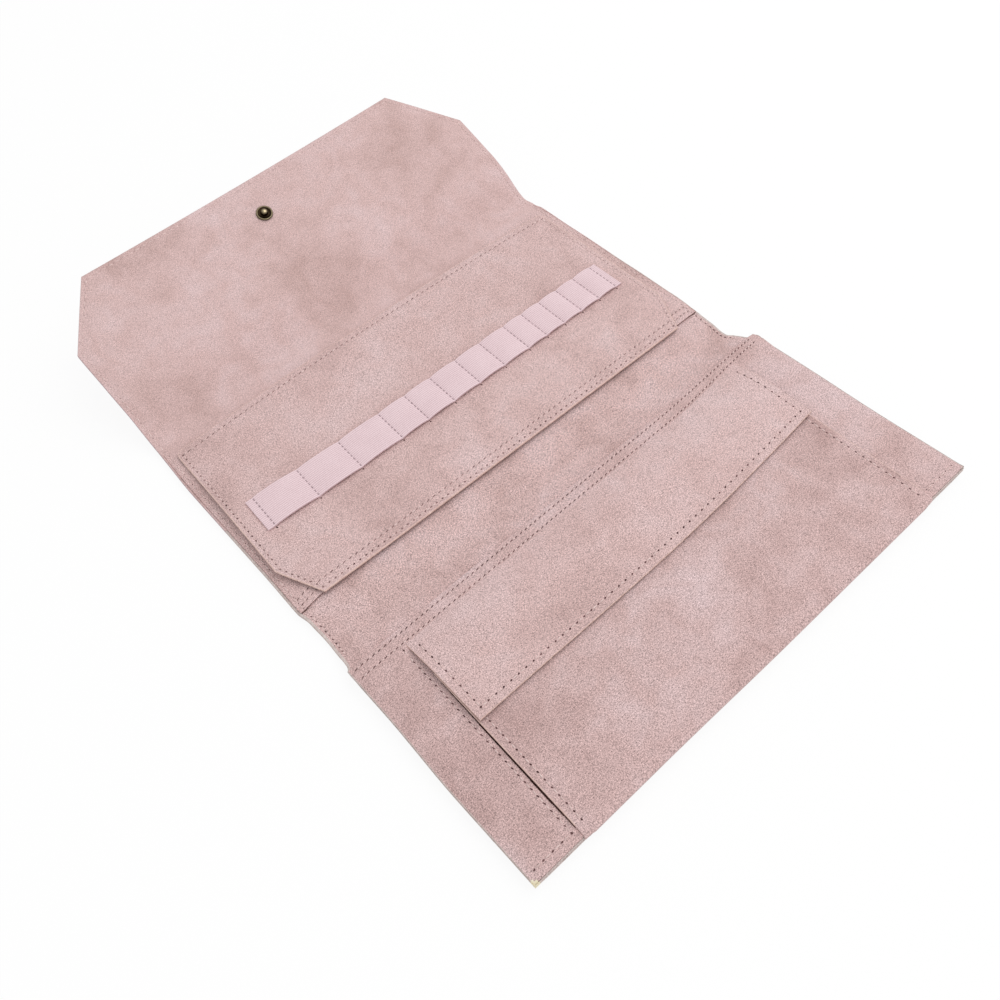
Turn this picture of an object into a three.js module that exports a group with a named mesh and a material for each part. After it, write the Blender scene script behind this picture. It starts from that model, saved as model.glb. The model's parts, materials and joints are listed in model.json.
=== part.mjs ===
// A folding needle case of suede-finish leather: a back panel, a flap with a snap above it, a pocketed
// front panel below it, and a lined page with an elastic band of needle loops.
// Millimetres, +Z up. The origin is the centre of the back panel's underside, +Y points to the flap's tip
// and +X to the right. The pieces are placed as the open case lies on a table, with its flap standing up.
import * as THREE from 'three';

// Panels, measured along the leather
const CASE_WIDTH = 240;
const BACK_LENGTH = 129;
const UPPER_SPINE_LENGTH = 27;
const FLAP_LENGTH = 64;
const FLAP_CORNER_WIDTH = 25;
const FLAP_CORNER_LENGTH = 33;
const LOWER_SPINE_LENGTH = 15;
const RISER_LENGTH = 17;
const FRONT_END_GAP = 21.5;
const FRONT_OVERHANG = 1;

// Layers of the panels
const COVER_THICKNESS = 1.0;
const BOARD_THICKNESS = 1.0;
const LINING_THICKNESS = 0.8;
const POCKET_THICKNESS = 1.0;
const PLY_GAP = 0.2;
const FOLD_GAP = 0.2;
const BOARD_INSET = 4;

// How the open case lies
const SPINE_RISE_DEG = 36;
const FLAP_RISE_DEG = 22;
const PAGE_LIFT_DEG = 1.2;
const TABLE_CLEARANCE = 0.3;

// Slip pocket on the back panel, and the needle page over it
const CENTRE_POCKET_FOOT_MARGIN = 5;
const CENTRE_POCKET_TOP_MARGIN = 6;
const CENTRE_POCKET_HEM = 11;
const PAGE_SIDE_MARGIN = 5;
const PAGE_TOP_MARGIN = 18;
const PAGE_FOOT_MARGIN = 2.5;
const PAGE_CORNER_WIDTH = 10;
const PAGE_CORNER_LENGTH = 21;
const PAGE_LEATHER_THICKNESS = 0.9;
const PAGE_BOARD_THICKNESS = 0.8;

// Elastic band: wide, medium and narrow needle loops in shares of its length
const ELASTIC_WIDTH = 20;
const ELASTIC_THICKNESS = 0.9;
const ELASTIC_SIDE_MARGIN = 8;
const ELASTIC_FROM_PAGE_FOOT = 36.5;
const ELASTIC_TAB = 5;
const ELASTIC_ARCH = 1.1;
const WIDE_LOOPS = 3;
const MEDIUM_LOOPS = 5;
const NARROW_LOOPS = 5;
const WIDE_SHARE = 6;
const MEDIUM_SHARE = 4;
const NARROW_SHARE = 3;
const ARCH_STEPS = 6;

// Front panel: full-width slip pocket, bellows pocket on it, and the bellows pocket's flap
const FRONT_POCKET_EDGE = 1;
const FRONT_POCKET_HEM = 7;
const BORDER_WIDTH = 20;
const BELLOWS_MOUTH = 24;
const BELLOWS_DEPTH = 5.4;
const BELLOWS_TURN = 9;
const TURN_STEPS = 6;
const GUSSET_THICKNESS = 0.6;
const GUSSET_FOLD = 5;
const POCKET_FLAP_SIDE_INSET = 3;
const POCKET_FLAP_ROOT = 2;
const POCKET_FLAP_RAMP = 10;
const POCKET_FLAP_LENGTH = 43;
const POCKET_FLAP_PLY = 0.9;

// Snap fastener, set a little to the left of the middle
const SNAP_OFFSET = -2.5;
const STUD_FROM_TIP = 20;
const STUD_RADIUS = 4.3;
const STUD_RIM = 0.7;
const STUD_DISH = 0.35;
const STUD_RIM_WIDTH = 0.9;
const STUD_DOME_RADIUS = 2;
const STUD_DOME_HEIGHT = 1.6;
const STUD_DOME_CROWN = 1;
const SOCKET_RADIUS = 4.7;
const SOCKET_HEIGHT = 1.5;
const SNAP_PLAY = 0.4;
const CAP_RADIUS = 5.2;
const CAP_HEIGHT = 0.9;
const SHANK_RADIUS = 1.2;
const SHANK_PLAY = 0.2;
const RIVET_FLANGE_RADIUS = 4;
const RIVET_FLANGE_THICKNESS = 0.6;
const ROUND_STEPS = 28;
const DOME_STEPS = 3;

// Sizes that follow from the ones above
const radians = THREE.MathUtils.degToRad;
const panelThickness = COVER_THICKNESS + BOARD_THICKNESS + LINING_THICKNESS + 2 * PLY_GAP;
const spineThickness = COVER_THICKNESS + LINING_THICKNESS + PLY_GAP;
const halfWidth = CASE_WIDTH / 2;
const frontHalfWidth = halfWidth + FRONT_OVERHANG;
const upperFoldY = BACK_LENGTH / 2;
const lowerFoldY = -BACK_LENGTH / 2;

// The front panel lies on the snap's socket, and the two strips of the lower spine reach from the back
// panel to it.
const frontInnerHeight = TABLE_CLEARANCE + SOCKET_HEIGHT + PLY_GAP + panelThickness;
const spineDip = Math.asin((panelThickness - spineThickness) / LOWER_SPINE_LENGTH);
const riserRise = Math.asin((frontInnerHeight - spineThickness) / RISER_LENGTH);
const upperSpineRise = radians(SPINE_RISE_DEG);
const flapDroop = radians(SPINE_RISE_DEG - FLAP_RISE_DEG);

// Closed, the flap lies over the front panel with the snap between them, and the front panel's free edge
// stops short of the upper fold.
const snapStack = STUD_RIM + SOCKET_HEIGHT + 3 * PLY_GAP;
const closedHeight = UPPER_SPINE_LENGTH - panelThickness - snapStack;
const closedSpineAngle = Math.asin(closedHeight / (LOWER_SPINE_LENGTH + RISER_LENGTH));
const closedFrontY = lowerFoldY + (RISER_LENGTH - LOWER_SPINE_LENGTH) * Math.cos(closedSpineAngle);
const frontLength = upperFoldY - FRONT_END_GAP - closedFrontY;
const studFromFold = FLAP_LENGTH - STUD_FROM_TIP;
const socketFromFold = upperFoldY - studFromFold - closedFrontY;

// Finishes
const leather = (color) => new THREE.MeshStandardMaterial({ color, roughness: 0.75, metalness: 0 });
const FINISH = {
  cover: leather('#cfaeab'),
  lining: leather('#d3b3b1'),
  pocket: leather('#d6b6b4'),
  board: new THREE.MeshStandardMaterial({ color: '#e6dcc6', roughness: 0.9, metalness: 0 }),
  elastic: new THREE.MeshStandardMaterial({ color: '#e6cbcf', roughness: 0.85, metalness: 0 }),
  brass: new THREE.MeshStandardMaterial({ color: '#6f5d3c', roughness: 0.35, metalness: 1 }),
};

const Y_Z_ALONG_X = new THREE.Matrix4().makeBasis(
  new THREE.Vector3(0, 1, 0),
  new THREE.Vector3(0, 0, 1),
  new THREE.Vector3(1, 0, 0),
);
const X_Z_ALONG_Y = new THREE.Matrix4().makeBasis(
  new THREE.Vector3(1, 0, 0),
  new THREE.Vector3(0, 0, 1),
  new THREE.Vector3(0, -1, 0),
);

function addMesh(group, name, geometry, finish) {
  const mesh = new THREE.Mesh(geometry, FINISH[finish].clone());
  mesh.name = name;
  group.add(mesh);
  return mesh;
}

function addGroup(parent, y, z, tilt) {
  const group = new THREE.Group();
  group.position.set(0, y, z);
  group.rotation.x = tilt;
  parent.add(group);
  return group;
}

// A rectangle from nearY to farY whose far corners can be cut off
function panelOutline(half, nearY, farY, cornerWidth = 0, cornerLength = 0) {
  const way = Math.sign(farY - nearY);
  const points = [[-half, nearY], [half, nearY]];
  if (cornerWidth > 0) {
    points.push([half, farY - way * cornerLength], [half - cornerWidth, farY]);
    points.push([cornerWidth - half, farY], [-half, farY - way * cornerLength]);
  } else {
    points.push([half, farY], [-half, farY]);
  }
  return new THREE.Shape(points.map(([x, y]) => new THREE.Vector2(x, y)));
}

function addHole(outline, y, radius) {
  const hole = new THREE.Path();
  hole.absarc(SNAP_OFFSET, y, radius, 0, 2 * Math.PI, false);
  outline.holes.push(hole);
}

// A flat layer whose upper face is at height top
function addSheet(group, name, outline, top, thickness, finish) {
  const settings = { depth: thickness, bevelEnabled: false, curveSegments: ROUND_STEPS / 2 };
  const geometry = new THREE.ExtrudeGeometry(outline, settings);
  geometry.translate(0, 0, top - thickness);
  return addMesh(group, name, geometry, finish);
}

// A strip of even thickness whose lower or inner side follows the path, as a closed outline
function ribbonOutline(path, thickness) {
  const offset = path.map((point, i) => {
    const before = path[Math.max(i - 1, 0)];
    const after = path[Math.min(i + 1, path.length - 1)];
    const arriving = (i > 0 ? point.clone().sub(before) : after.clone().sub(point)).normalize();
    const leaving = (i < path.length - 1 ? after.clone().sub(point) : arriving.clone()).normalize();
    const across = new THREE.Vector2(-arriving.y - leaving.y, arriving.x + leaving.x).normalize();
    const reach = thickness / (across.x * -arriving.y + across.y * arriving.x);
    return point.clone().addScaledVector(across, reach);
  });
  return new THREE.Shape([...path, ...offset.reverse()]);
}

// A layer with one side view all along its width
function addProfile(group, name, outline, width, finish) {
  const geometry = new THREE.ExtrudeGeometry(outline, { depth: width, bevelEnabled: false });
  geometry.translate(0, 0, -width / 2);
  geometry.applyMatrix4(Y_Z_ALONG_X);
  return addMesh(group, name, geometry, finish);
}

function addTurned(group, name, profile, y, finish) {
  const points = profile.map(([r, z]) => new THREE.Vector2(r, z));
  const geometry = new THREE.LatheGeometry(points, ROUND_STEPS);
  geometry.rotateX(Math.PI / 2);
  geometry.translate(SNAP_OFFSET, y, 0);
  return addMesh(group, name, geometry, finish);
}

// How far a layer ends before a fold that bends the panels' undersides towards each other
function setBack(depth, bend = 0) {
  return FOLD_GAP + depth * Math.tan(bend / 2);
}

// The layers of one panel, from its lining down, between two folds or from a fold to a free end
function addPanel(group, name, panel) {
  const { length, half, way, nearBend = 0, farBend = 0, freeEnd = false } = panel;
  const { board = true, corner = [0, 0], holes = {} } = panel;
  const ends = (depth, inset = 0) => [
    way * (setBack(depth, nearBend) + inset),
    way * (length - (freeEnd ? 0 : setBack(depth, farBend)) - inset),
  ];
  let top = 0;
  const addPly = (ply, thickness, finish, inset = 0) => {
    const [nearY, farY] = ends(thickness - top, inset);
    const outline = panelOutline(half - inset, nearY, farY, ...corner);
    if (holes[ply]) {
      addHole(outline, way * holes[ply].distance, holes[ply].radius);
    }
    addSheet(group, `${name}_${ply}`, outline, top, thickness, finish);
    top -= thickness + PLY_GAP;
  };
  addPly('lining', LINING_THICKNESS, 'lining');
  if (board) {
    addPly('board', BOARD_THICKNESS, 'board', BOARD_INSET);
  }
  addPly('cover', COVER_THICKNESS, 'cover');
}

function addBack(group) {
  addPanel(addGroup(group, lowerFoldY, 0, 0), 'back', {
    length: BACK_LENGTH,
    half: halfWidth,
    way: 1,
    nearBend: spineDip,
  });
  const foot = lowerFoldY + CENTRE_POCKET_FOOT_MARGIN;
  const head = upperFoldY - CENTRE_POCKET_TOP_MARGIN;
  const sheet = hemmedOutline(foot, head, CENTRE_POCKET_HEM);
  addProfile(group, 'centre_pocket', sheet, CASE_WIDTH, 'pocket');
}

// A pocket sheet lying on the lining, doubled along its hemmed mouth
function hemmedOutline(mouthY, endY, hem) {
  const way = Math.sign(endY - mouthY);
  const single = PLY_GAP + POCKET_THICKNESS;
  const double = single + POCKET_THICKNESS;
  const points = [[mouthY, PLY_GAP], [endY, PLY_GAP], [endY, single]];
  points.push([mouthY + way * hem, single], [mouthY + way * hem, double], [mouthY, double]);
  return new THREE.Shape(points.map(([y, z]) => new THREE.Vector2(y, z)));
}

const pageThickness = 2 * PAGE_LEATHER_THICKNESS + PAGE_BOARD_THICKNESS + 2 * PLY_GAP;
const pageLength = BACK_LENGTH - PAGE_TOP_MARGIN - PAGE_FOOT_MARGIN;
const pageHalfWidth = halfWidth - PAGE_SIDE_MARGIN;
const pageFaceHeight = 2 * PLY_GAP + POCKET_THICKNESS + pageThickness;

// The needle page hangs from the seam along its top edge.
function addPage(group) {
  const plies = [
    ['page_face', PAGE_LEATHER_THICKNESS, 0, 'pocket'],
    ['page_board', PAGE_BOARD_THICKNESS, BOARD_INSET, 'board'],
    ['page_back', PAGE_LEATHER_THICKNESS, 0, 'lining'],
  ];
  let top = 0;
  for (const [name, thickness, inset, finish] of plies) {
    const half = pageHalfWidth - inset;
    const foot = inset - pageLength;
    const outline = panelOutline(half, -inset, foot, PAGE_CORNER_WIDTH, PAGE_CORNER_LENGTH);
    addSheet(group, name, outline, top, thickness, finish);
    top -= thickness + PLY_GAP;
  }
}

// The band is sewn down at its tabs and between its loops, and stands up a little in each loop.
function addElastic(group) {
  const length = 2 * (pageHalfWidth - ELASTIC_SIDE_MARGIN);
  const loops = [
    ...Array(WIDE_LOOPS).fill(WIDE_SHARE),
    ...Array(MEDIUM_LOOPS).fill(MEDIUM_SHARE),
    ...Array(NARROW_LOOPS).fill(NARROW_SHARE),
  ];
  const share = (length - 2 * ELASTIC_TAB) / loops.reduce((sum, loop) => sum + loop, 0);
  let x = -length / 2;
  const path = [new THREE.Vector2(x, PLY_GAP)];
  x += ELASTIC_TAB;
  path.push(new THREE.Vector2(x, PLY_GAP));
  for (const loop of loops) {
    const width = loop * share;
    for (let step = 1; step <= ARCH_STEPS; step += 1) {
      const along = step / ARCH_STEPS;
      const arch = ELASTIC_ARCH * Math.sin(Math.PI * along);
      path.push(new THREE.Vector2(x + width * along, PLY_GAP + Math.max(arch, 0)));
    }
    x += width;
  }
  path.push(new THREE.Vector2(length / 2, PLY_GAP));
  const outline = ribbonOutline(path, ELASTIC_THICKNESS);
  const geometry = new THREE.ExtrudeGeometry(outline, { depth: ELASTIC_WIDTH, bevelEnabled: false });
  geometry.applyMatrix4(X_Z_ALONG_Y);
  geometry.translate(0, ELASTIC_FROM_PAGE_FOOT + ELASTIC_WIDTH - pageLength, 0);
  addMesh(group, 'needle_elastic', geometry, 'elastic');
}

const pocketTop = PLY_GAP + POCKET_THICKNESS;
const bellowsUnder = pocketTop + BELLOWS_DEPTH;
const bellowsTop = bellowsUnder + POCKET_THICKNESS;
const bellowsHalfWidth = halfWidth - BORDER_WIDTH;

function addFrontPockets(group) {
  const sheet = hemmedOutline(-FRONT_POCKET_EDGE, -frontLength, FRONT_POCKET_HEM);
  addProfile(group, 'front_pocket', sheet, 2 * frontHalfWidth, 'pocket');

  // The bellows pocket's front lies flat and turns down to the bottom edge in a quarter round.
  const turnY = BELLOWS_TURN - frontLength;
  const turnWidth = BELLOWS_TURN - POCKET_THICKNESS;
  const path = [];
  for (let step = 0; step <= TURN_STEPS; step += 1) {
    const angle = (step / TURN_STEPS) * (Math.PI / 2);
    const drop = BELLOWS_DEPTH - PLY_GAP;
    const y = turnY - turnWidth * Math.cos(angle);
    path.push(new THREE.Vector2(y, pocketTop + PLY_GAP + drop * Math.sin(angle)));
  }
  path.push(new THREE.Vector2(-BELLOWS_MOUTH, bellowsUnder));
  const front = ribbonOutline(path, POCKET_THICKNESS);
  addProfile(group, 'bellows_front', front, 2 * bellowsHalfWidth, 'pocket');

  // Each side of the pocket is a strip folded inwards.
  const low = pocketTop + PLY_GAP;
  const high = bellowsUnder - PLY_GAP;
  const gussetLength = frontLength - BELLOWS_TURN - BELLOWS_MOUTH - FOLD_GAP;
  for (const [side, sign] of [['left', -1], ['right', 1]]) {
    const outer = sign * (bellowsHalfWidth - GUSSET_THICKNESS);
    const inner = sign * (bellowsHalfWidth - GUSSET_THICKNESS - GUSSET_FOLD);
    const flat = sign * GUSSET_THICKNESS;
    const points = [[outer, low], [inner, (low + high) / 2], [outer, high]];
    points.push([outer + flat, high], [inner + flat, (low + high) / 2], [outer + flat, low]);
    const outline = new THREE.Shape(points.map(([x, z]) => new THREE.Vector2(x, z)));
    const geometry = new THREE.ExtrudeGeometry(outline, { depth: gussetLength, bevelEnabled: false });
    geometry.applyMatrix4(X_Z_ALONG_Y);
    geometry.translate(0, -BELLOWS_MOUTH, 0);
    addMesh(group, `bellows_gusset_${side}`, geometry, 'lining');
  }
}

const pocketFlapRootY = -(FRONT_POCKET_EDGE + FRONT_POCKET_HEM + FOLD_GAP);
const pocketFlapHeight = pocketTop + PLY_GAP + 2 * POCKET_FLAP_PLY + PLY_GAP;

// The pocket flap climbs from the seam at the hem to the bellows pocket and lies over its mouth.
function addPocketFlap(group) {
  const width = 2 * (bellowsHalfWidth - POCKET_FLAP_SIDE_INSET);
  const climb = bellowsTop - pocketTop;
  const layers = [
    ['pocket_flap_lining', pocketTop + PLY_GAP - pocketFlapHeight, 'lining'],
    ['pocket_flap_face', -POCKET_FLAP_PLY, 'pocket'],
  ];
  for (const [name, under, finish] of layers) {
    const path = [
      new THREE.Vector2(-POCKET_FLAP_LENGTH, under + climb),
      new THREE.Vector2(-POCKET_FLAP_ROOT - POCKET_FLAP_RAMP, under + climb),
      new THREE.Vector2(-POCKET_FLAP_ROOT, under),
      new THREE.Vector2(0, under),
    ];
    addProfile(group, name, ribbonOutline(path, POCKET_FLAP_PLY), width, finish);
  }
}

// A quarter ellipse from the axis at height top out to the radius at height foot
function domePoints(radius, foot, top) {
  const points = [];
  for (let step = 0; step <= DOME_STEPS; step += 1) {
    const angle = (step / DOME_STEPS) * (Math.PI / 2);
    points.push([radius * Math.sin(angle), foot + (top - foot) * Math.cos(angle)]);
  }
  return points;
}

const holeRadius = SHANK_RADIUS + SHANK_PLAY;

// The stud stands on the flap's inside, and the cap's shank comes through the flap into it.
function addStud(group) {
  const y = studFromFold;
  const base = PLY_GAP;
  const domeTop = base + STUD_RIM + STUD_DOME_HEIGHT;
  const boreTop = base + STUD_RIM;
  const shankTop = boreTop - SHANK_PLAY;
  const rimInside = STUD_RADIUS - STUD_RIM_WIDTH;
  const stud = [[0, boreTop], [holeRadius, boreTop], [holeRadius, base], [STUD_RADIUS, base]];
  stud.push([STUD_RADIUS, base + STUD_RIM], [rimInside, base + STUD_RIM]);
  stud.push([rimInside - STUD_DISH, base + STUD_DISH], [STUD_DOME_RADIUS, base + STUD_DISH]);
  stud.push(...domePoints(STUD_DOME_RADIUS, domeTop - STUD_DOME_CROWN, domeTop).reverse());
  addTurned(group, 'snap_stud', stud, y, 'brass');

  const under = -panelThickness - PLY_GAP;
  const cap = domePoints(CAP_RADIUS, under, under - CAP_HEIGHT);
  cap.push([SHANK_RADIUS, under], [SHANK_RADIUS, shankTop], [0, shankTop]);
  addTurned(group, 'snap_cap', cap, y, 'brass');
}

// The socket is on the front panel's outside, held by a rivet whose flange lies in the board.
function addSocket(group) {
  const y = -socketFromFold;
  const top = -panelThickness - PLY_GAP;
  const low = top - SOCKET_HEIGHT;
  const bore = STUD_DOME_RADIUS + SNAP_PLAY;
  const lip = (SOCKET_RADIUS + bore) / 2;
  const socket = [[bore, low], [lip, low], [SOCKET_RADIUS, low + SOCKET_HEIGHT / 2]];
  socket.push([SOCKET_RADIUS, top], [bore, top], [bore, low]);
  addTurned(group, 'snap_socket', socket, y, 'brass');

  const coverTop = COVER_THICKNESS - panelThickness;
  const flangeLow = coverTop + PLY_GAP;
  const flangeTop = flangeLow + RIVET_FLANGE_THICKNESS;
  const rivet = [[0, -panelThickness], [SHANK_RADIUS, -panelThickness], [SHANK_RADIUS, flangeLow]];
  rivet.push([RIVET_FLANGE_RADIUS, flangeLow], [RIVET_FLANGE_RADIUS, flangeTop], [0, flangeTop]);
  addTurned(group, 'snap_rivet', rivet, y, 'brass');
}

const needleCase = new THREE.Group();
const back = addGroup(needleCase, 0, panelThickness, 0);
addBack(back);

const page = addGroup(back, upperFoldY - PAGE_TOP_MARGIN, pageFaceHeight, -radians(PAGE_LIFT_DEG));
addPage(page);
addElastic(page);

const upperSpine = addGroup(back, upperFoldY, 0, upperSpineRise);
addPanel(upperSpine, 'upper_spine', {
  length: UPPER_SPINE_LENGTH,
  half: halfWidth,
  way: 1,
  farBend: flapDroop,
  board: false,
});

const flap = addGroup(upperSpine, UPPER_SPINE_LENGTH, 0, -flapDroop);
const shankHole = { distance: studFromFold, radius: holeRadius };
addPanel(flap, 'flap', {
  length: FLAP_LENGTH,
  half: halfWidth,
  way: 1,
  nearBend: flapDroop,
  freeEnd: true,
  corner: [FLAP_CORNER_WIDTH, FLAP_CORNER_LENGTH],
  holes: { lining: shankHole, board: shankHole, cover: shankHole },
});
addStud(flap);

const lowerSpine = addGroup(back, lowerFoldY, 0, spineDip);
addPanel(lowerSpine, 'lower_spine', {
  length: LOWER_SPINE_LENGTH,
  half: halfWidth,
  way: -1,
  nearBend: spineDip,
  board: false,
});

const riser = addGroup(lowerSpine, -LOWER_SPINE_LENGTH, 0, -spineDip - riserRise);
addPanel(riser, 'riser', {
  length: RISER_LENGTH,
  half: halfWidth,
  way: -1,
  farBend: riserRise,
  board: false,
});

const front = addGroup(riser, -RISER_LENGTH, 0, riserRise);
addPanel(front, 'front', {
  length: frontLength,
  half: frontHalfWidth,
  way: -1,
  nearBend: riserRise,
  freeEnd: true,
  holes: {
    board: { distance: socketFromFold, radius: RIVET_FLANGE_RADIUS + SHANK_PLAY },
    cover: { distance: socketFromFold, radius: holeRadius },
  },
});
addFrontPockets(front);
addSocket(front);

const pocketFlap = addGroup(front, pocketFlapRootY, pocketFlapHeight, 0);
addPocketFlap(pocketFlap);

export default needleCase;
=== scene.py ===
"""Looks of a folding needle case: suede-finish leather, ribbed elastic, thread and a brass snap.

Metres, in the part's own frame: +X to the right, +Y to the flap's tip, +Z up. A sheet is laid out by
u, across the case, v, along its side view towards the flap, and h, the height over that side view.
"""
import json
import logging
import math
from bisect import bisect_right
from dataclasses import dataclass, field
from enum import Enum
from typing import Any, Callable, Iterable, Sequence

import bmesh
import bpy
from mathutils import Color, Matrix, Vector, noise


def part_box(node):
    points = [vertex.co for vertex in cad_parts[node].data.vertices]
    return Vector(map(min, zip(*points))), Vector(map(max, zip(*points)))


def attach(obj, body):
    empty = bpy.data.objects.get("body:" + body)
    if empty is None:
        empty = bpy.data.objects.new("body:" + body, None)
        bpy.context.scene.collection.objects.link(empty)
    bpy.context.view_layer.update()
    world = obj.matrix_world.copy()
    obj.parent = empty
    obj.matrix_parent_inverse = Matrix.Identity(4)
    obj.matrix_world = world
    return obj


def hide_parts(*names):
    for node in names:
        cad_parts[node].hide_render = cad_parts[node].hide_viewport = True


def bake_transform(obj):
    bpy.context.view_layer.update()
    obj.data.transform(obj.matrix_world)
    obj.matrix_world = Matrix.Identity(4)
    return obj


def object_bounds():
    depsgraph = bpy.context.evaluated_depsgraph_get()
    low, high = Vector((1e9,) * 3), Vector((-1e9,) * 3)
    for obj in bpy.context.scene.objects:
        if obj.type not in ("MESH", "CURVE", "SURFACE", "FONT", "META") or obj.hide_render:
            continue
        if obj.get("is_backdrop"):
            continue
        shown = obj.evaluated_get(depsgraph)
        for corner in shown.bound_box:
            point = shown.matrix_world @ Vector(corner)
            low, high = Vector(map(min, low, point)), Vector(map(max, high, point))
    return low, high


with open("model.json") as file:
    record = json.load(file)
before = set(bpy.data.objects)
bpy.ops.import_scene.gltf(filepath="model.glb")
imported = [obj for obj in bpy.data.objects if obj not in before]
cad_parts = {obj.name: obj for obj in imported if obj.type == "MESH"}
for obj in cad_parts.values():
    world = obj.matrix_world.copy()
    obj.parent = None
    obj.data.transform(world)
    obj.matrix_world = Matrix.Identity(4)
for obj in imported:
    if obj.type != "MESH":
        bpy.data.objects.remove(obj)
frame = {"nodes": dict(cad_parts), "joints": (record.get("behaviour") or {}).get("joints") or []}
CAD_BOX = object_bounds()

LOG = logging.getLogger("needle_case")
MM = 0.001
LEATHER_MAP = "leather"
RIB_PITCH = 1.05 * MM
GROOVE_DEPTH = 0.16 * MM
GROOVE_WIDTH = 0.5 * MM
ALIKE = 0.01 * MM
SHARP_TURN = math.radians(50)
WHITE = (1.0, 1.0, 1.0, 1.0)

Colour = tuple[float, float, float, float]
Point2 = tuple[float, float]
Sizes = tuple[float, ...]
Height = Callable[[float, float], float]
Place = Callable[[float, float, float], Vector]
Profile = Sequence[tuple[float, float, float]]


def srgb(*shares: int) -> Colour:
    """Turns red, green and blue of 0 to 255 into the linear colour that shaders take."""
    return *Color([share / 255 for share in shares]).from_srgb_to_scene_linear(), 1.0


def ease(value: float, low: float, high: float) -> float:
    """Goes smoothly from 0 at low to 1 at high."""
    share = min(max((value - low) / (high - low), 0.0), 1.0)
    return share * share * (3 - 2 * share)


def between(value: float, table: Sequence[Point2]) -> float:
    """Reads a table of rising places and their values, with an even curve between them.

    Args:
        value: Where to read it.
        table: Places and values.

    Returns:
        The value there.
    """
    i = min(max(bisect_right(table, (value, math.inf)) - 1, 0), len(table) - 2)
    (low, first), (high, second) = table[i], table[i + 1]
    return first + (second - first) * ease(value, low, high)


def ripple(u: float, v: float, size: float, seed: float) -> float:
    """A soft unevenness from -1 to 1, in waves of a given size that differ from seed to seed."""
    return noise.noise(Vector((u / size, v / size, seed)))


def millimetres(*sizes: float) -> Sizes:
    """Turns sizes in millimetres into metres."""
    return tuple(size * MM for size in sizes)


EDGE_LINES = millimetres(0.0, 0.07, 0.22, 0.45)


def groove(distance: float) -> float:
    """Depth of the groove that stitches draw into the leather, at a distance from their row."""
    return GROOVE_DEPTH * math.exp(-(distance / GROOVE_WIDTH) ** 2)


def groove_lines(rows: Iterable[float]) -> list[float]:
    """Mesh lines that carry the grooves along rows of stitches."""
    return [row + turn * GROOVE_WIDTH for row in rows for turn in (-2, -1, 0, 1, 2)]


@dataclass(frozen=True)
class Value:
    """A number socket of a node tree. Arithmetic on it adds Math nodes."""

    tree: "ShaderTree"
    socket: bpy.types.NodeSocket

    def _math(self, operation: str, first: Any, second: Any) -> "Value":
        """Adds a Math node of two values."""
        return self.tree.node("ShaderNodeMath", "Value", {"operation": operation}, {0: first, 1: second})

    def __add__(self, other: Any) -> "Value":
        """The sum."""
        return self._math("ADD", self, other)

    def __sub__(self, other: Any) -> "Value":
        """The difference."""
        return self._math("SUBTRACT", self, other)

    def __rsub__(self, other: Any) -> "Value":
        """The difference from a number."""
        return self._math("SUBTRACT", other, self)

    def __mul__(self, other: Any) -> "Value":
        """The product."""
        return self._math("MULTIPLY", self, other)

    def at_least(self, other: Any) -> "Value":
        """The larger of the two."""
        return self._math("MAXIMUM", self, other)

    __radd__ = __add__
    __rmul__ = __mul__


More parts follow.
